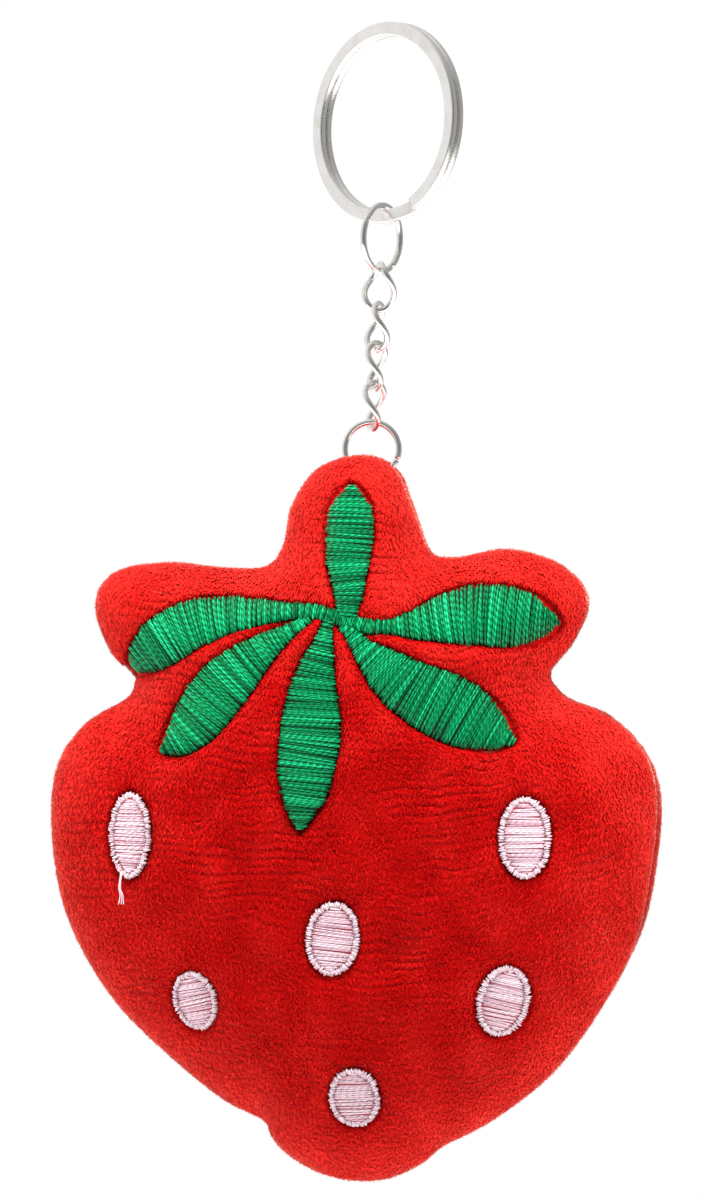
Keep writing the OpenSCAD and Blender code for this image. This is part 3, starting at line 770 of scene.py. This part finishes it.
@dataclass
class Cover:
    """One panel of plush: its cloth, and the pile that stands on it."""

    form: FruitForm
    side: Side
    tuft_pitch: float = 0.29
    tuft_length: float = 0.34
    tuft_width: float = 0.13
    lay_length: float = 0.5
    row_pitch: float = 1.12
    # valley sets how fast painted shade deepens towards the seam's valley; inner_shade sets how dark the inner faces
    # are painted.
    valley: float = 1.6
    inner_shade: float = 0.1
    rings: int = 90
    rolls: int = 9
    pieces: int = 3

    def cloth(self) -> bpy.types.Object:
        """The cloth as a closed sheet: face, rolled edge, allowance turned in, and lining."""
        f = self.form
        out = f.outward()
        outer, _, near = f.nap(self.side, self.rings, self.rolls)
        lining = f.face(self.side, 30, 0, f.cloth)[::-1]
        deep = f.seam - out * (f.seam_dip + f.allowance)
        fold = f.seam - out * (f.cloth + 0.3)
        turned = [
            raised(q, f.gap(q) + up) for q, up in ((deep, 0.0), (deep, f.cloth), (fold, f.cloth))
        ]
        points, faces = closed_skin(np.concatenate([outer, np.stack(turned), lining]))
        if self.side is Side.FRONT:
            faces = flipped(faces)
        p = points[:, [0, 2]]
        painted_shading, face = self.shade(p), outer.shape[0] * outer.shape[1]
        # Painted shade: the rolled edge darkens into the seam's valley, and the turned-in allowance and lining are
        # painted darker still.
        painted_shading[:face] *= 1 - 0.95 * np.repeat(np.clip(self.valley * near, 0, 1), outer.shape[1])
        painted_shading[face:] *= self.inner_shade
        rows, strength = self.creases(p)
        values = {"rows": rows, "strength": strength, "shade": painted_shading}
        return mesh_object(f"{self.side.word}_cover", f.to_frame(points, self.side), faces, values)

    def roots(self, seed: int) -> tuple[np.ndarray, np.ndarray, np.ndarray]:
        """Scatters tuft roots evenly over the face and its rolled edge.

        Returns:
            Root points, outward unit vectors, and how near each root is to the seam's valley, 0 to 1.
        """
        grid, normal, near_row = self.form.nap(self.side, self.rings, self.rolls)
        rows, cols = grid.shape[:2]
        valley = np.repeat(near_row[:, None], cols, 1)
        a, b = grid[:-1], grid[1:]
        across = np.linalg.norm(np.roll(a, -1, 1) - a, axis=-1) + np.linalg.norm(np.roll(b, -1, 1) - b, axis=-1)
        area = (across / 2 * np.linalg.norm(b - a, axis=-1)).ravel()
        rng = np.random.default_rng(seed)
        count = int(area.sum() / self.tuft_pitch**2 * 3.2)
        cell = np.searchsorted(np.cumsum(area) / area.sum(), rng.random(count))
        j, i = np.minimum(cell // cols, rows - 2), cell % cols
        u, v = rng.random((2, count, 1))

        def between(values: np.ndarray) -> np.ndarray:
            """Blends the four corners of each root's cell."""
            k = (i + 1) % cols
            low = values[j, i] * (1 - u) + values[j, k] * u
            high = values[j + 1, i] * (1 - u) + values[j + 1, k] * u
            return low * (1 - v) + high * v

        point, out = between(grid), unit(between(normal))
        near = between(valley[..., None])[:, 0]
        key = np.floor(point / self.tuft_pitch).astype(np.int64)
        key = (key[:, 0] * 4001 + key[:, 1]) * 4001 + key[:, 2]
        _, pick = np.unique(key, return_index=True)
        pick = rng.permutation(pick)
        return point[pick], out[pick], near[pick]

    def creases(self, p: np.ndarray) -> tuple[np.ndarray, np.ndarray]:
        """Rows of the pile, with short wavy creases where they meet.

        Args:
            p: Points (x, z), one row each.

        Returns:
            The row's number with its fraction, whole on a crease, and how strong the crease is, 0 to 1.
        """
        seed = 70 if self.side is Side.FRONT else 80
        rise = 0.006 * np.maximum(p[:, 0] - 2, 0) ** 2
        wavy = p[:, 1] - rise + 0.4 * ripple(p, 11, seed) + 0.1 * ripple(p, 3, seed + 1)
        rows = wavy / self.row_pitch
        dash = streaks(p[:, 0] + 0.5 * ripple(p, 5, seed + 2), np.round(rows).astype(int), 2.8, seed + 3)
        region = 0.6 + 0.4 * ripple(p, 18, seed + 4)
        strength = (0.3 + 0.7 * smoothstep((dash - 0.3) / 0.5)) * np.clip(region, 0.25, 1)
        return rows, strength * smoothstep(self.form.edge_distance(p) / 4)

    def shade(self, p: np.ndarray) -> np.ndarray:
        """Painted light and shade of the pile at points (x, z), 0 to 1, over a random tone: most at rim and crown as
        painted rim light and top light, least beside a stitch as painted shade.
        """
        # Painted top light: the crown is made lighter, as if lit from above.
        crown = 0.4 * smoothstep((p[:, 1] + 42) / 26)
        # Painted rim light: the pile is made lighter near the seam.
        rim = np.exp(-np.maximum(self.form.edge_distance(p), 0) / 8)
        shade = 0.36 + 0.1 * ripple(p, 9, 50) + 0.58 * np.clip(rim + crown, 0, 1)
        if self.side is Side.FRONT:
            # Painted shade: the pile is darkened beside the embroidery.
            shade *= 0.05 + 0.95 * smoothstep((self.form.stitched(p) - 0.1) / 0.7)
        return shade

    def pile(self, seed: int) -> list[bpy.types.Object]:
        """Loose ends of the pile: slim closed wedges that stand a little over the nap and lie downwards.

        They take their shading from the nap's own normals, as soft fibre does, and thin out in the creases,
        at the seam and beside the stitching.
        """
        f = self.form
        root, out, near = self.roots(seed)
        p = root[:, [0, 2]]
        clear = f.stitched(p) if self.side is Side.FRONT else np.full(len(p), 99.0)
        keep = (clear > 0.15) & (near < 0.6)
        root, out, near, p, clear = (x[keep] for x in (root, out, near, p, clear))
        rng = np.random.default_rng(seed + 1)
        n = len(root)
        rows, strength = self.creases(p)
        off = (rows - np.round(rows)) * self.row_pitch
        dip = strength * np.exp(-((off / 0.2) ** 2))
        length = self.tuft_length * rng.uniform(0.8, 1.15, n) * (1 - 0.6 * dip)
        length *= (1 - 0.5 * smoothstep((near - 0.1) / 0.5)) * (0.6 + 0.4 * smoothstep(clear / 0.8))
        clump = np.stack([ripple(p, 1.7, seed + 7), np.zeros(n), ripple(p, 2.1, seed + 8)], -1)
        lean = np.array([0.06, 0.0, -0.5]) + rng.normal(0, 0.12, (n, 3)) + 0.12 * clump
        direction = unit(out + lean)
        lay = unit(lean - (lean * out).sum(1, keepdims=True) * out)
        side = np.cross(direction, lay)
        pointed = rng.random(n) < 0.45
        width = (self.tuft_width * rng.uniform(0.7, 1.2, n))[:, None]
        forward = (self.lay_length * rng.uniform(0.7, 1.3, n))[:, None]
        tip = root + direction * length[:, None]
        foot = root - out * 0.25
        blunt = np.stack([tip + lay * forward * 0.7, tip - lay * forward * 0.3 + side * width,
                          tip - lay * forward * 0.3 - side * width, foot], 1)
        slim = np.stack([foot + lay * width, foot - lay * width + side * width * 0.8,
                         foot - lay * width - side * width * 0.8, tip + direction * 0.25 + lay * 0.25], 1)
        points = f.to_frame(np.where(pointed[:, None, None], slim, blunt), self.side)
        a, b, c, apex = (points[:, k] for k in range(4))
        inside_out = ((np.cross(b - a, c - a) * (apex - a)).sum(1) < 0)[:, None]
        points[:, 1], points[:, 2] = np.where(inside_out, c, b), np.where(inside_out, b, c)
        tilt = 0.06 * clump + rng.normal(0, 0.05, (n, 3))
        tilt[:, 2] -= 0.35 * strength * np.sin(rows * TURN)
        normal = unit(out + tilt) * (1, self.side.value, 1)
        # Painted light and shade from the nap, with painted shade deepening into the seam's valley, plus a random tone.
        shade = self.shade(p) * (1 - 0.9 * np.clip(self.valley * near, 0, 1)) + rng.normal(0, 0.06, n)
        part = np.array_split(np.argsort(p[:, 1], kind="stable"), self.pieces)
        wedge = np.array([[0, 1, 3], [1, 2, 3], [2, 0, 3], [0, 2, 1]])
        made = []
        for number, pick in enumerate(part, 1):
            faces = (wedge[None] + np.arange(len(pick))[:, None, None] * 4).reshape(-1, 3)
            kept = {"rows": rows, "strength": strength, "shade": np.clip(shade, 0, 1)}
            values = {key: np.repeat(value[pick], 4) for key, value in kept.items()}
            name = f"pile_{self.side.word}_{number}"
            tufts = mesh_object(name, points[pick].reshape(-1, 3), [faces], values)
            tufts.data.normals_split_custom_set_from_vertices(np.repeat(normal[pick], 4, 0))
            made.append(tufts)
        return made

    def build(self, knit: bpy.types.Material, pile: bpy.types.Material) -> None:
        """Builds and dresses the cloth and its pile."""
        cloth = self.cloth()
        seat(cloth, knit, "fruit", "red_plush", f"{self.side.word}_panel")
        for tufts in self.pile(40 if self.side is Side.FRONT else 60):
            seat(tufts, pile, "fruit", "red_plush")


@dataclass
class Embroidery:
    """Satin leaves, filled and bordered seeds, and the loose end of one thread."""

    form: FruitForm
    pad: float = 0.8
    gap: float = 0.3
    pitch: float = 0.31
    radius: float = 0.175
    border_pitch: float = 0.215
    border_radius: float = 0.115
    ply_radius: float = 0.075
    squash: float = 0.85
    sides: int = 6
    tail: tuple[tuple[float, float], ...] = ((-31.1, -57), (-31.3, -59.2), (-31.0, -60.3), (-31.05, -61.6))

    def ground(self, p: np.ndarray) -> np.ndarray:
        """Height of the cloth under the stitches."""
        return self.form.height(p)

    def threads(
        self, start: np.ndarray, end: np.ndarray, crown: np.ndarray, seed: int, radius: float, steps: int = 11
    ) -> tuple[np.ndarray, list[np.ndarray], dict[str, np.ndarray]]:
        """Threads over the cloth from start to end, arched by the root of 1 - u^2 and sunk at both ends.

        Args:
            start: Points (x, z) where each thread comes up.
            end: Points (x, z) where it goes down.
            crown: Height of each thread's middle over its ends.
            seed: Picks the shades and the unevenness.
            radius: Half the thread's width.
            steps: Rings along one thread.

        Returns:
            Points, faces and the values kept for each point.
        """
        rng = np.random.default_rng(seed)
        n, sides = len(start), self.sides
        t = 0.5 - 0.5 * np.cos(np.linspace(0, math.pi, steps))
        p = start[:, None] + (end - start)[:, None] * t[None, :, None]
        u = 2 * t - 1
        arch = np.sqrt(np.maximum(1 - u**2, 0)) ** 0.7
        ground = self.ground(p.reshape(-1, 2)).reshape(n, steps)
        lift = self.gap - 0.75 * (1 - arch) + crown[:, None] * arch + rng.normal(0, 0.03, (n, 1))
        path = raised(p, ground + lift)
        thick = radius * rng.uniform(0.9, 1.1, (n, 1)) * (0.75 + 0.25 * arch)
        points = tube_points(path, thick, sides, self.squash)
        length = np.linalg.norm(end - start, axis=1)[:, None]
        along = length * t + rng.uniform(0, 9, (n, 1))
        shade = np.clip(rng.normal(0.5, 0.2, n), 0, 1)
        values = {
            "shade": np.repeat(shade, steps * sides),
            "along": np.repeat(along.ravel(), sides),
            "around": np.tile((np.arange(sides) + 0.5) / sides, n * steps),
        }
        return self.form.to_frame(points.reshape(-1, 3), Side.FRONT), tube_faces(n, steps, sides), values

    def pad_surface(
        self, line: np.ndarray, across: np.ndarray, half: np.ndarray, crown: np.ndarray
    ) -> tuple[np.ndarray, np.ndarray]:
        """The padding under satin: an arched strip, closed below.

        Args:
            line: Middle points (x, z).
            across: Unit vectors across the strip.
            half: Half widths.
            crown: Height of the threads' middles over the padding's edge.

        Returns:
            Points in the frame and the faces of a closed strip.
        """
        u = np.linspace(-0.95, 0.95, 11)
        p = line[:, None] + across[:, None] * (half[:, None] * u)[..., None]
        ground = self.ground(p.reshape(-1, 2)).reshape(p.shape[:2])
        top = ground + self.gap - 0.6 + (crown[:, None] + 0.42) * np.sqrt(1 - u**2)
        ring = np.concatenate([raised(p, top), raised(p, ground - 0.7)[:, ::-1]], 1)
        n = ring.shape[1]
        fan = np.stack([np.zeros(n - 2, int), np.arange(1, n - 1), np.arange(2, n)], -1)
        faces = [grid_faces(len(line), n, wrap_cols=True), fan[:, ::-1], fan + (len(line) - 1) * n]
        return self.form.to_frame(ring.reshape(-1, 3), Side.FRONT), faces

    def leaf(self, leaf: Leaf, seed: int, green: bpy.types.Material, shadow: bpy.types.Material) -> None:
        """Lays satin threads square across the leaf over a padded strip."""
        fine = leaf.line(40)
        step = np.linalg.norm(np.diff(fine[:, :2], axis=0), axis=1)
        s = np.concatenate([[0], np.cumsum(step)])
        at = np.arange(self.pitch / 2, s[-1], self.pitch)
        rng = np.random.default_rng(seed)
        at = np.clip(at + rng.normal(0, 0.05, len(at)), 0, s[-1])
        centre = np.stack([np.interp(at, s, fine[:, k]) for k in (0, 1)], -1)
        half = np.interp(at, s, fine[:, 2])
        ahead = np.stack([np.interp(at + d, s, fine[:, k]) for d in (1.6, -1.6) for k in (0, 1)], -1)
        along = unit(ahead[:, :2] - ahead[:, 2:])
        across = np.stack([along[:, 1], -along[:, 0]], -1)
        tilt = rng.normal(0, 0.025, len(at))
        turned = across * np.cos(tilt)[:, None] + along * np.sin(tilt)[:, None]
        ends = half[:, None] + rng.normal(0, 0.1, (len(at), 2)) + 0.12
        start, end = centre - turned * ends[:, :1], centre + turned * ends[:, 1:]
        crown = self.pad * np.minimum(1, half / 1.7)
        points, faces, values = self.threads(start, end, crown, seed + 1, self.radius)
        seat(mesh_object(leaf.name + "_satin", points, faces, values), green, "fruit", "green_thread", leaf.name)
        strip, faces = self.pad_surface(centre, across, half, crown)
        under = mesh_object(leaf.name + "_padding", strip, faces, {"shade": np.zeros(len(strip))})
        seat(under, shadow, "fruit", "green_thread")

    def seed(self, seed: Seed, number: int, white: bpy.types.Material, under: bpy.types.Material) -> None:
        """Fills the oval with level threads and lays a border of short stitches over their ends."""
        rng = np.random.default_rng(number)
        axes = seed.axes()
        a, b = seed.width / 2, seed.height / 2
        inner = 0.86
        v = np.arange(-b * inner + 0.15, b * inner, self.pitch)
        v = v + rng.normal(0, 0.045, len(v))
        reach = a * inner * np.sqrt(np.maximum(1 - (v / (b * inner)) ** 2, 0.02))
        ends = reach[:, None] * (1, 1) + rng.normal(0, 0.08, (len(v), 2))
        tilt = rng.normal(0, 0.06, len(v))
        centre = np.array([seed.x, seed.z])
        left = np.stack([-ends[:, 0], v - tilt], -1) @ axes + centre
        right = np.stack([ends[:, 1], v + tilt], -1) @ axes + centre
        fill = self.threads(left, right, np.full(len(v), self.pad * 0.55), number + 1, self.radius * 0.9)
        around = int(math.pi * (a + b) / self.border_pitch)
        angle = np.arange(around) / around * TURN + rng.normal(0, 0.01, around)
        ring = np.stack([a * np.cos(angle), b * np.sin(angle)], -1)
        outward = unit(np.stack([np.cos(angle) / a, np.sin(angle) / b], -1))
        start = (ring - outward * (0.75 + rng.normal(0, 0.10, (around, 1)))) @ axes + centre
        end = (ring + outward * (0.02 + rng.normal(0, 0.09, (around, 1)))) @ axes + centre
        border = self.threads(start, end, np.full(around, self.pad * 0.62), number + 2, self.border_radius, 7)
        border[2]["shade"] = 0.4 + 0.6 * border[2]["shade"]
        shift = len(fill[0])
        points = np.concatenate([fill[0], border[0]])
        values = {key: np.concatenate([fill[2][key], border[2][key]]) for key in fill[2]}
        faces = [*fill[1], *[x + shift for x in border[1]]]
        if seed.name == "seed_upper_left":
            extra = self.loose_end(len(points))
            points = np.concatenate([points, extra[0]])
            faces += extra[1]
            for key in values:
                values[key] = np.concatenate([values[key], np.full(len(extra[0]), 0.7)])
        seat(mesh_object(seed.name + "_stitches", points, faces, values), white, "fruit", "pink_thread", seed.name)
        rows = np.linspace(-b * 0.93, b * 0.93, 21)
        half = a * 0.95 * np.sqrt(1 - (rows / b) ** 2)
        line = np.stack([np.zeros_like(rows), rows], -1) @ axes + centre
        crown = np.full(len(rows), self.pad * 0.55)
        strip, faces = self.pad_surface(line, np.repeat(axes[:1], len(rows), 0), half, crown)
        below = mesh_object(seed.name + "_padding", strip, flipped(faces), {"shade": np.zeros(len(strip))})
        seat(below, under, "fruit", "pink_thread")

    def loose_end(self, shift: int) -> tuple[np.ndarray, list[np.ndarray]]:
        """The tail of the first seed's thread, lying on the pile; its three plies fan out at the end."""
        p = catmull(np.array(self.tail), 8, False)
        fan = np.linspace(0, 1, len(p)) ** 2 * np.array([[-0.3], [0.03], [0.28]]) + np.array([[-0.07], [0.0], [0.07]])
        up = self.ground(p) + self.gap + 0.75 + 0.1 * np.sin(np.linspace(0, 6, len(p)))
        path = np.stack([p[:, 0] + fan, np.tile(up, (3, 1)), np.tile(p[:, 1], (3, 1))], -1)
        points = tube_points(path, np.full(path.shape[:2], self.ply_radius), self.sides)
        faces = [x + shift for x in tube_faces(3, len(p), self.sides)]
        return self.form.to_frame(points.reshape(-1, 3), Side.FRONT), faces

    def build(self) -> None:
        """Builds all leaves and seeds."""
        green = ThreadFinish(
            "green_thread", (0.0, 0.03, 0.01), (0.0, 0.25, 0.075), (0.01, 0.62, 0.25), 0.26,
            sheen=0.0, ply_groove_shade=0.6, gleam=(0.25, 1.0, 0.55)
        ).material()
        shadow = ThreadFinish("green_shadow", (0.0, 0.03, 0.01), (0.0, 0.05, 0.015), (0.0, 0.07, 0.02), 0.7).material()
        white = ThreadFinish(
            "pink_thread", (0.50, 0.22, 0.28), (0.74, 0.55, 0.62), (0.90, 0.80, 0.84), 0.42, ply_groove_shade=0.35
        ).material()
        under = ThreadFinish("pink_shadow", (0.50, 0.06, 0.07), (0.6, 0.1, 0.1), (0.7, 0.15, 0.15), 0.8).material()
        for number, leaf in enumerate(LEAVES):
            self.leaf(leaf, 100 + 10 * number, green, shadow)
        for number, seed in enumerate(SEEDS):
            self.seed(seed, 200 + 10 * number, white, under)


@dataclass
class Inside:
    """What the cover hides: filling, backing, seam thread and hanging loop."""

    form: FruitForm

    def filling(self) -> bpy.types.Object:
        """The stuffing as one lumpy closed cushion under the cloth."""
        f = self.form
        under, rings = f.cloth + 1.0, 34
        rim = f.seam - f.outward() * (under + 1.2)
        deep = f.seam - f.outward() * (f.seam_dip + f.allowance + 0.5)
        share = np.sin(np.linspace(0, 1, rings + 1)[1:] * math.pi / 2)[:, None, None]
        flat = (np.array(f.middle) + (rim - f.middle) * share).reshape(-1, 2)
        lumps = 0.5 * (ripple(flat, 4, 31) - 1)
        face = raised(flat, f.height(flat, under) + lumps).reshape(rings, -1, 3)
        half = np.concatenate([face, *[raised(q, f.gap(q) + under)[None] for q in (rim, deep)]])
        points, faces = closed_skin(np.concatenate([half, half[::-1] * (1, -1, 1)]))
        return mesh_object("filling_fibre", f.to_frame(points, Side.FRONT), flipped(faces))

    def build(self) -> None:
        """Builds the filling and dresses the CAD pieces that stay."""
        fibre = WovenFinish("white_fibre", (0.86, 0.86, 0.84), (0.6, 0.6, 0.58), 90, 0.3).material()
        fill = self.filling()
        seat(fill, fibre, "fruit", "stuffing", "filling")
        tape = WovenFinish("woven_tape", (0.72, 0.02, 0.02), (0.3, 0.005, 0.005), 900, 0.08).material()
        sheet = WovenFinish("non_woven", (0.8, 0.8, 0.78), (0.62, 0.62, 0.6), 320, 0.05).material()
        thread = WovenFinish("seam_thread", (0.7, 0.02, 0.02), (0.35, 0.005, 0.005), 700, 0.05).material()
        for node, finish in (
            ("hanging_loop", tape),
            ("embroidery_backing", sheet),
            ("seam_stitching", thread),
            ("closing_stitching", thread),
        ):
            dress(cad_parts[node], finish)


# Metal


@dataclass
class Chain:
    """Split ring, jump ring, four twisted links and the base ring."""

    ring_od: float = 28.5
    ring_wire_w: float = 1.9
    coil_t: float = 1.05
    coil_gap: float = 0.1
    ring_yaw: float = -41.0
    chain_wire: float = 0.9
    link_ease: float = 0.025
    jump_yaw: float = 61.0
    link_l: float = 7.49
    link_w: float = 5.4
    link_twist: float = 85.0
    link_yaws: tuple[float, ...] = (-70.0, 69.5, 44.0, 40.0)
    base_wire: float = 0.85
    butt_gap: float = 0.1

    def split_ring(self) -> bpy.types.Object:
        """A flat wire of two turns: a rounded section carried round a circle, stepping across near its middle."""
        start, turns, step_at, step_half = -62.0, 700.0, 350.0, 22.0
        rings, sides = 560, 28
        angle = np.linspace(0, turns, rings)
        offset = (self.coil_t + self.coil_gap) / 2
        side = offset * np.sin(np.radians(90 * np.clip((angle - step_at) / step_half, -1, 1)))
        k = (np.arange(sides) + 0.5) * TURN / sides
        power = 0.42
        w = self.ring_wire_w / 2 * np.sign(np.cos(k)) * np.abs(np.cos(k)) ** power
        t = self.coil_t / 2 * np.sign(np.sin(k)) * np.abs(np.sin(k)) ** power
        ends = np.sqrt(np.clip(1 - (1 - np.minimum(angle, turns - angle) / 1.6) ** 2, 0.25, 1))
        ends = np.where(np.minimum(angle, turns - angle) < 1.6, ends, 1.0)[:, None]
        mid = self.ring_od / 2 - self.ring_wire_w / 2
        a = np.radians(start + angle)[:, None]
        points = np.stack([(mid + w * ends) * np.cos(a), side[:, None] + t * ends, (mid + w * ends) * np.sin(a)], -1)
        return mesh_object("split_ring_wire", yawed(points, self.ring_yaw), flipped(tube_faces(1, rings, sides)))

    def wire_ring(self, name: str, node: str, wire: float, yaw: float, cut: float) -> bpy.types.Object:
        """A round wire bent to a ring with its two ends nearly meeting.

        Args:
            name: The piece's name.
            node: The CAD node that gives its place and size.
            wire: Wire diameter.
            yaw: Turn of the ring's plane about the vertical, in degrees.
            cut: Angle of the cut, in degrees.

        Returns:
            The ring: section circle carried round a circle, rounded off at both ends.
        """
        low, high = (np.array(c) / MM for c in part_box(node))
        radius = (high[2] - low[2] - wire) / 2
        centre = (low + high) / 2
        rings, sides = 120, 20
        gap = self.butt_gap / radius
        t = np.linspace(0, 1, rings)
        a = math.radians(cut) + gap / 2 + t * (TURN - gap)
        near = np.minimum(t, 1 - t) * (TURN - gap) * radius
        thin = np.sqrt(1 - (1 - np.clip(near / (wire * 0.22), 0, 1)) ** 2 * 0.55)
        k = (np.arange(sides) + 0.5) * TURN / sides
        r = radius + np.cos(k) * wire / 2 * thin[:, None]
        flat = np.stack([r * np.cos(a[:, None]), np.sin(k) * wire / 2 * thin[:, None], r * np.sin(a[:, None])], -1)
        return mesh_object(name, yawed(flat, yaw) + (0, 0, centre[2]), flipped(tube_faces(1, rings, sides)))

    def link(self, number: int) -> bpy.types.Object:
        """A twisted link: an oval whose plane turns smoothly from its top end to its bottom end."""
        node = f"chain_link_{number}"
        low, high = (np.array(c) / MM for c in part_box(node))
        half_l, half_w = (self.link_l - self.chain_wire) / 2, (self.link_w - self.chain_wire) / 2
        rings, sides = 144, 18
        a = np.arange(rings) / rings * TURN

        def turn_at(z: np.ndarray) -> np.ndarray:
            """Turn of the oval's plane at this height."""
            share = smoothstep((half_l - z) / (2 * half_l))
            return np.radians(self.link_yaws[number - 1] + self.link_twist * share)

        z = half_l * np.sin(a)
        turn, x = turn_at(z), half_w * np.cos(a)
        path = np.stack([x * np.cos(turn), x * np.sin(turn), z], -1)
        along = unit(np.roll(path, -1, 0) - np.roll(path, 1, 0))
        face = np.stack([-np.sin(turn), np.cos(turn), np.zeros_like(turn)], -1)
        u = unit(face - (face * along).sum(1, keepdims=True) * along)
        v = np.cross(along, u)
        k = np.arange(sides) / sides * TURN
        ring = np.cos(k)[:, None] * u[:, None] + np.sin(k)[:, None] * v[:, None]
        points = (path[:, None] + (self.chain_wire / 2 - self.link_ease) * ring).reshape(-1, 3)
        points = points + (0, 0, (low[2] + high[2]) / 2)
        faces = grid_faces(rings, sides, wrap_rows=True, wrap_cols=True)
        return mesh_object(f"link_{number}_wire", points, [faces])

    def build(self) -> None:
        """Builds and dresses all the metal."""
        nickel = MetalFinish().material()
        made = [
            (self.split_ring(), "split_ring", "split_ring"),
            (self.wire_ring("jump_ring_wire", "upper_jump_ring", self.chain_wire, self.jump_yaw, -55), "jump_ring",
             "upper_jump_ring"),
            *[(self.link(k), f"link_{k}", f"chain_link_{k}") for k in (1, 2, 3, 4)],
            (self.wire_ring("base_ring_wire", "base_ring", self.base_wire, 0, -20), "base_ring", "base_ring"),
        ]
        for obj, body, node in made:
            seat(obj, nickel, body, "nickel", node)


# Studio


@dataclass
class Studio:
    """White surroundings, four soft lights and a long lens."""

    centre: tuple[float, float, float] = (-1.8, 0.0, -67.6)
    view_height: float = 169.7
    distance: float = 800.0
    yaw: float = 5.0
    pitch: float = 0.0
    roll: float = 2.7
    soft_light: tuple[float, float] = (0.05, 1.35)
    lights: tuple[tuple[str, tuple[float, float, float], float, float], ...] = (
        ("key", (-130, -300, 450), 420, 2.4),
        ("top", (-6, -95, 98), 110, 0.46),
        ("right", (152, -62, -40), 110, 0.23),
        ("left", (-152, -62, -40), 110, 0.19),
    )

    def world(self) -> None:
        """Plain white to the camera; as light, dim in front and bright all round, and dimmer on the metal's right."""
        world = bpy.data.worlds.new("studio")
        bpy.context.scene.world = world
        n = Nodes(world)
        axes = n.node("ShaderNodeSeparateXYZ")
        n.join(n.node("ShaderNodeTexCoord").outputs["Generated"], axes.inputs[0])
        room = n.sum_up("MULTIPLY", n.span(axes.outputs["Y"], -0.85, -0.3, 0.35, 1.0),
                        n.span(axes.outputs["X"], -0.4, 0.7, 0.86, 0.35))
        seen, soft, mirrored = (n.node("ShaderNodeBackground", Color=(1, 1, 1, 1)) for _ in range(3))
        n.join(n.span(axes.outputs["Y"], -0.9, -0.1, *self.soft_light), soft.inputs["Strength"])
        n.join(room, mirrored.inputs["Strength"])
        path, light = n.node("ShaderNodeLightPath"), soft.outputs[0]
        for ray, shown in (("Is Glossy Ray", mirrored), ("Is Camera Ray", seen)):
            mix = n.node("ShaderNodeMixShader")
            for source, target in zip((path.outputs[ray], light, shown.outputs[0]), mix.inputs):
                n.join(source, target)
            light = mix.outputs[0]
        n.join(light, n.node("ShaderNodeOutputWorld").inputs[0])

    def floor(self) -> None:
        """A round white floor well under the fruit."""
        low = np.array(CAD_BOX[0]) / MM
        n = 64
        a = np.arange(n) / n * TURN
        rim = np.stack([450 * np.cos(a), 450 * np.sin(a), np.full(n, low[2] - 60)], -1)
        points = np.concatenate([rim, [[0, 0, low[2] - 60]]])
        fan = np.stack([np.full(n, n), np.arange(n), (np.arange(n) + 1) % n], -1)
        obj = mesh_object("floor", points, [fan])
        s = Shader("floor_white")
        grain = s.noise((40, 40, 40), 2)
        s.join(s.ramp(grain, [(0.2, (0.9, 0.9, 0.9)), (0.8, (0.94, 0.94, 0.94))]), s.surface.inputs["Base Color"])
        s.set(Roughness=0.9)
        dress(obj, s.material)

    def light(self, name: str, at: tuple[float, float, float], size: float, watts: float) -> None:
        """A square soft light at a place in millimetres, facing the fruit; the metal doesn't mirror it."""
        data = bpy.data.lights.new(name, "AREA")
        data.shape, data.size, data.energy = "SQUARE", size * MM, watts
        obj = bpy.data.objects.new(name, data)
        bpy.context.scene.collection.objects.link(obj)
        place = Vector(at) * MM
        obj.location = place
        obj.visible_glossy = False
        obj.rotation_euler = (Vector(self.centre) * MM - place).to_track_quat("-Z", "Y").to_euler()

    def camera(self) -> None:
        """A camera at eye level, turned and rolled as the charm hangs in it."""
        data = bpy.data.cameras.new("camera")
        data.sensor_width = 36.0
        data.lens = 36.0 * self.distance / self.view_height
        data.clip_start, data.clip_end = 0.01, 20.0
        obj = bpy.data.objects.new("camera", data)
        bpy.context.scene.collection.objects.link(obj)
        a, e = math.radians(self.yaw), math.radians(self.pitch)
        back = Vector((math.sin(a) * math.cos(e), -math.cos(a) * math.cos(e), math.sin(e)))
        turn = (-back).to_track_quat("-Z", "Y").to_matrix().to_4x4()
        turn = turn @ Matrix.Rotation(math.radians(self.roll), 4, "Z")
        obj.matrix_world = Matrix.Translation((Vector(self.centre) + back * self.distance) * MM) @ turn
        bpy.context.scene.camera = obj

    def build(self) -> None:
        """Sets up world, floor, lights and camera."""
        scene = bpy.context.scene
        scene.view_settings.view_transform = "Standard"
        scene.view_settings.look = "None"
        self.world()
        self.floor()
        for name, at, size, watts in self.lights:
            self.light(name, at, size, watts)
        self.camera()


def main() -> None:
    """Builds the charm piece by piece and sets up the studio."""
    logging.basicConfig(level=logging.INFO, format="%(message)s")
    base_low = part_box("base_ring")[0].z / MM
    form = FruitForm(hang_z=base_low + 0.85 / 2)
    Chain().build()
    knit, pile = PlushFinish("red_plush").material(), PlushFinish("red_pile", row_depth=0.05).material()
    for side in Side:
        Cover(form, side).build(knit, pile)
    Embroidery(form).build()
    Inside(form).build()
    Studio().build()


if __name__ == "__main__":
    main()
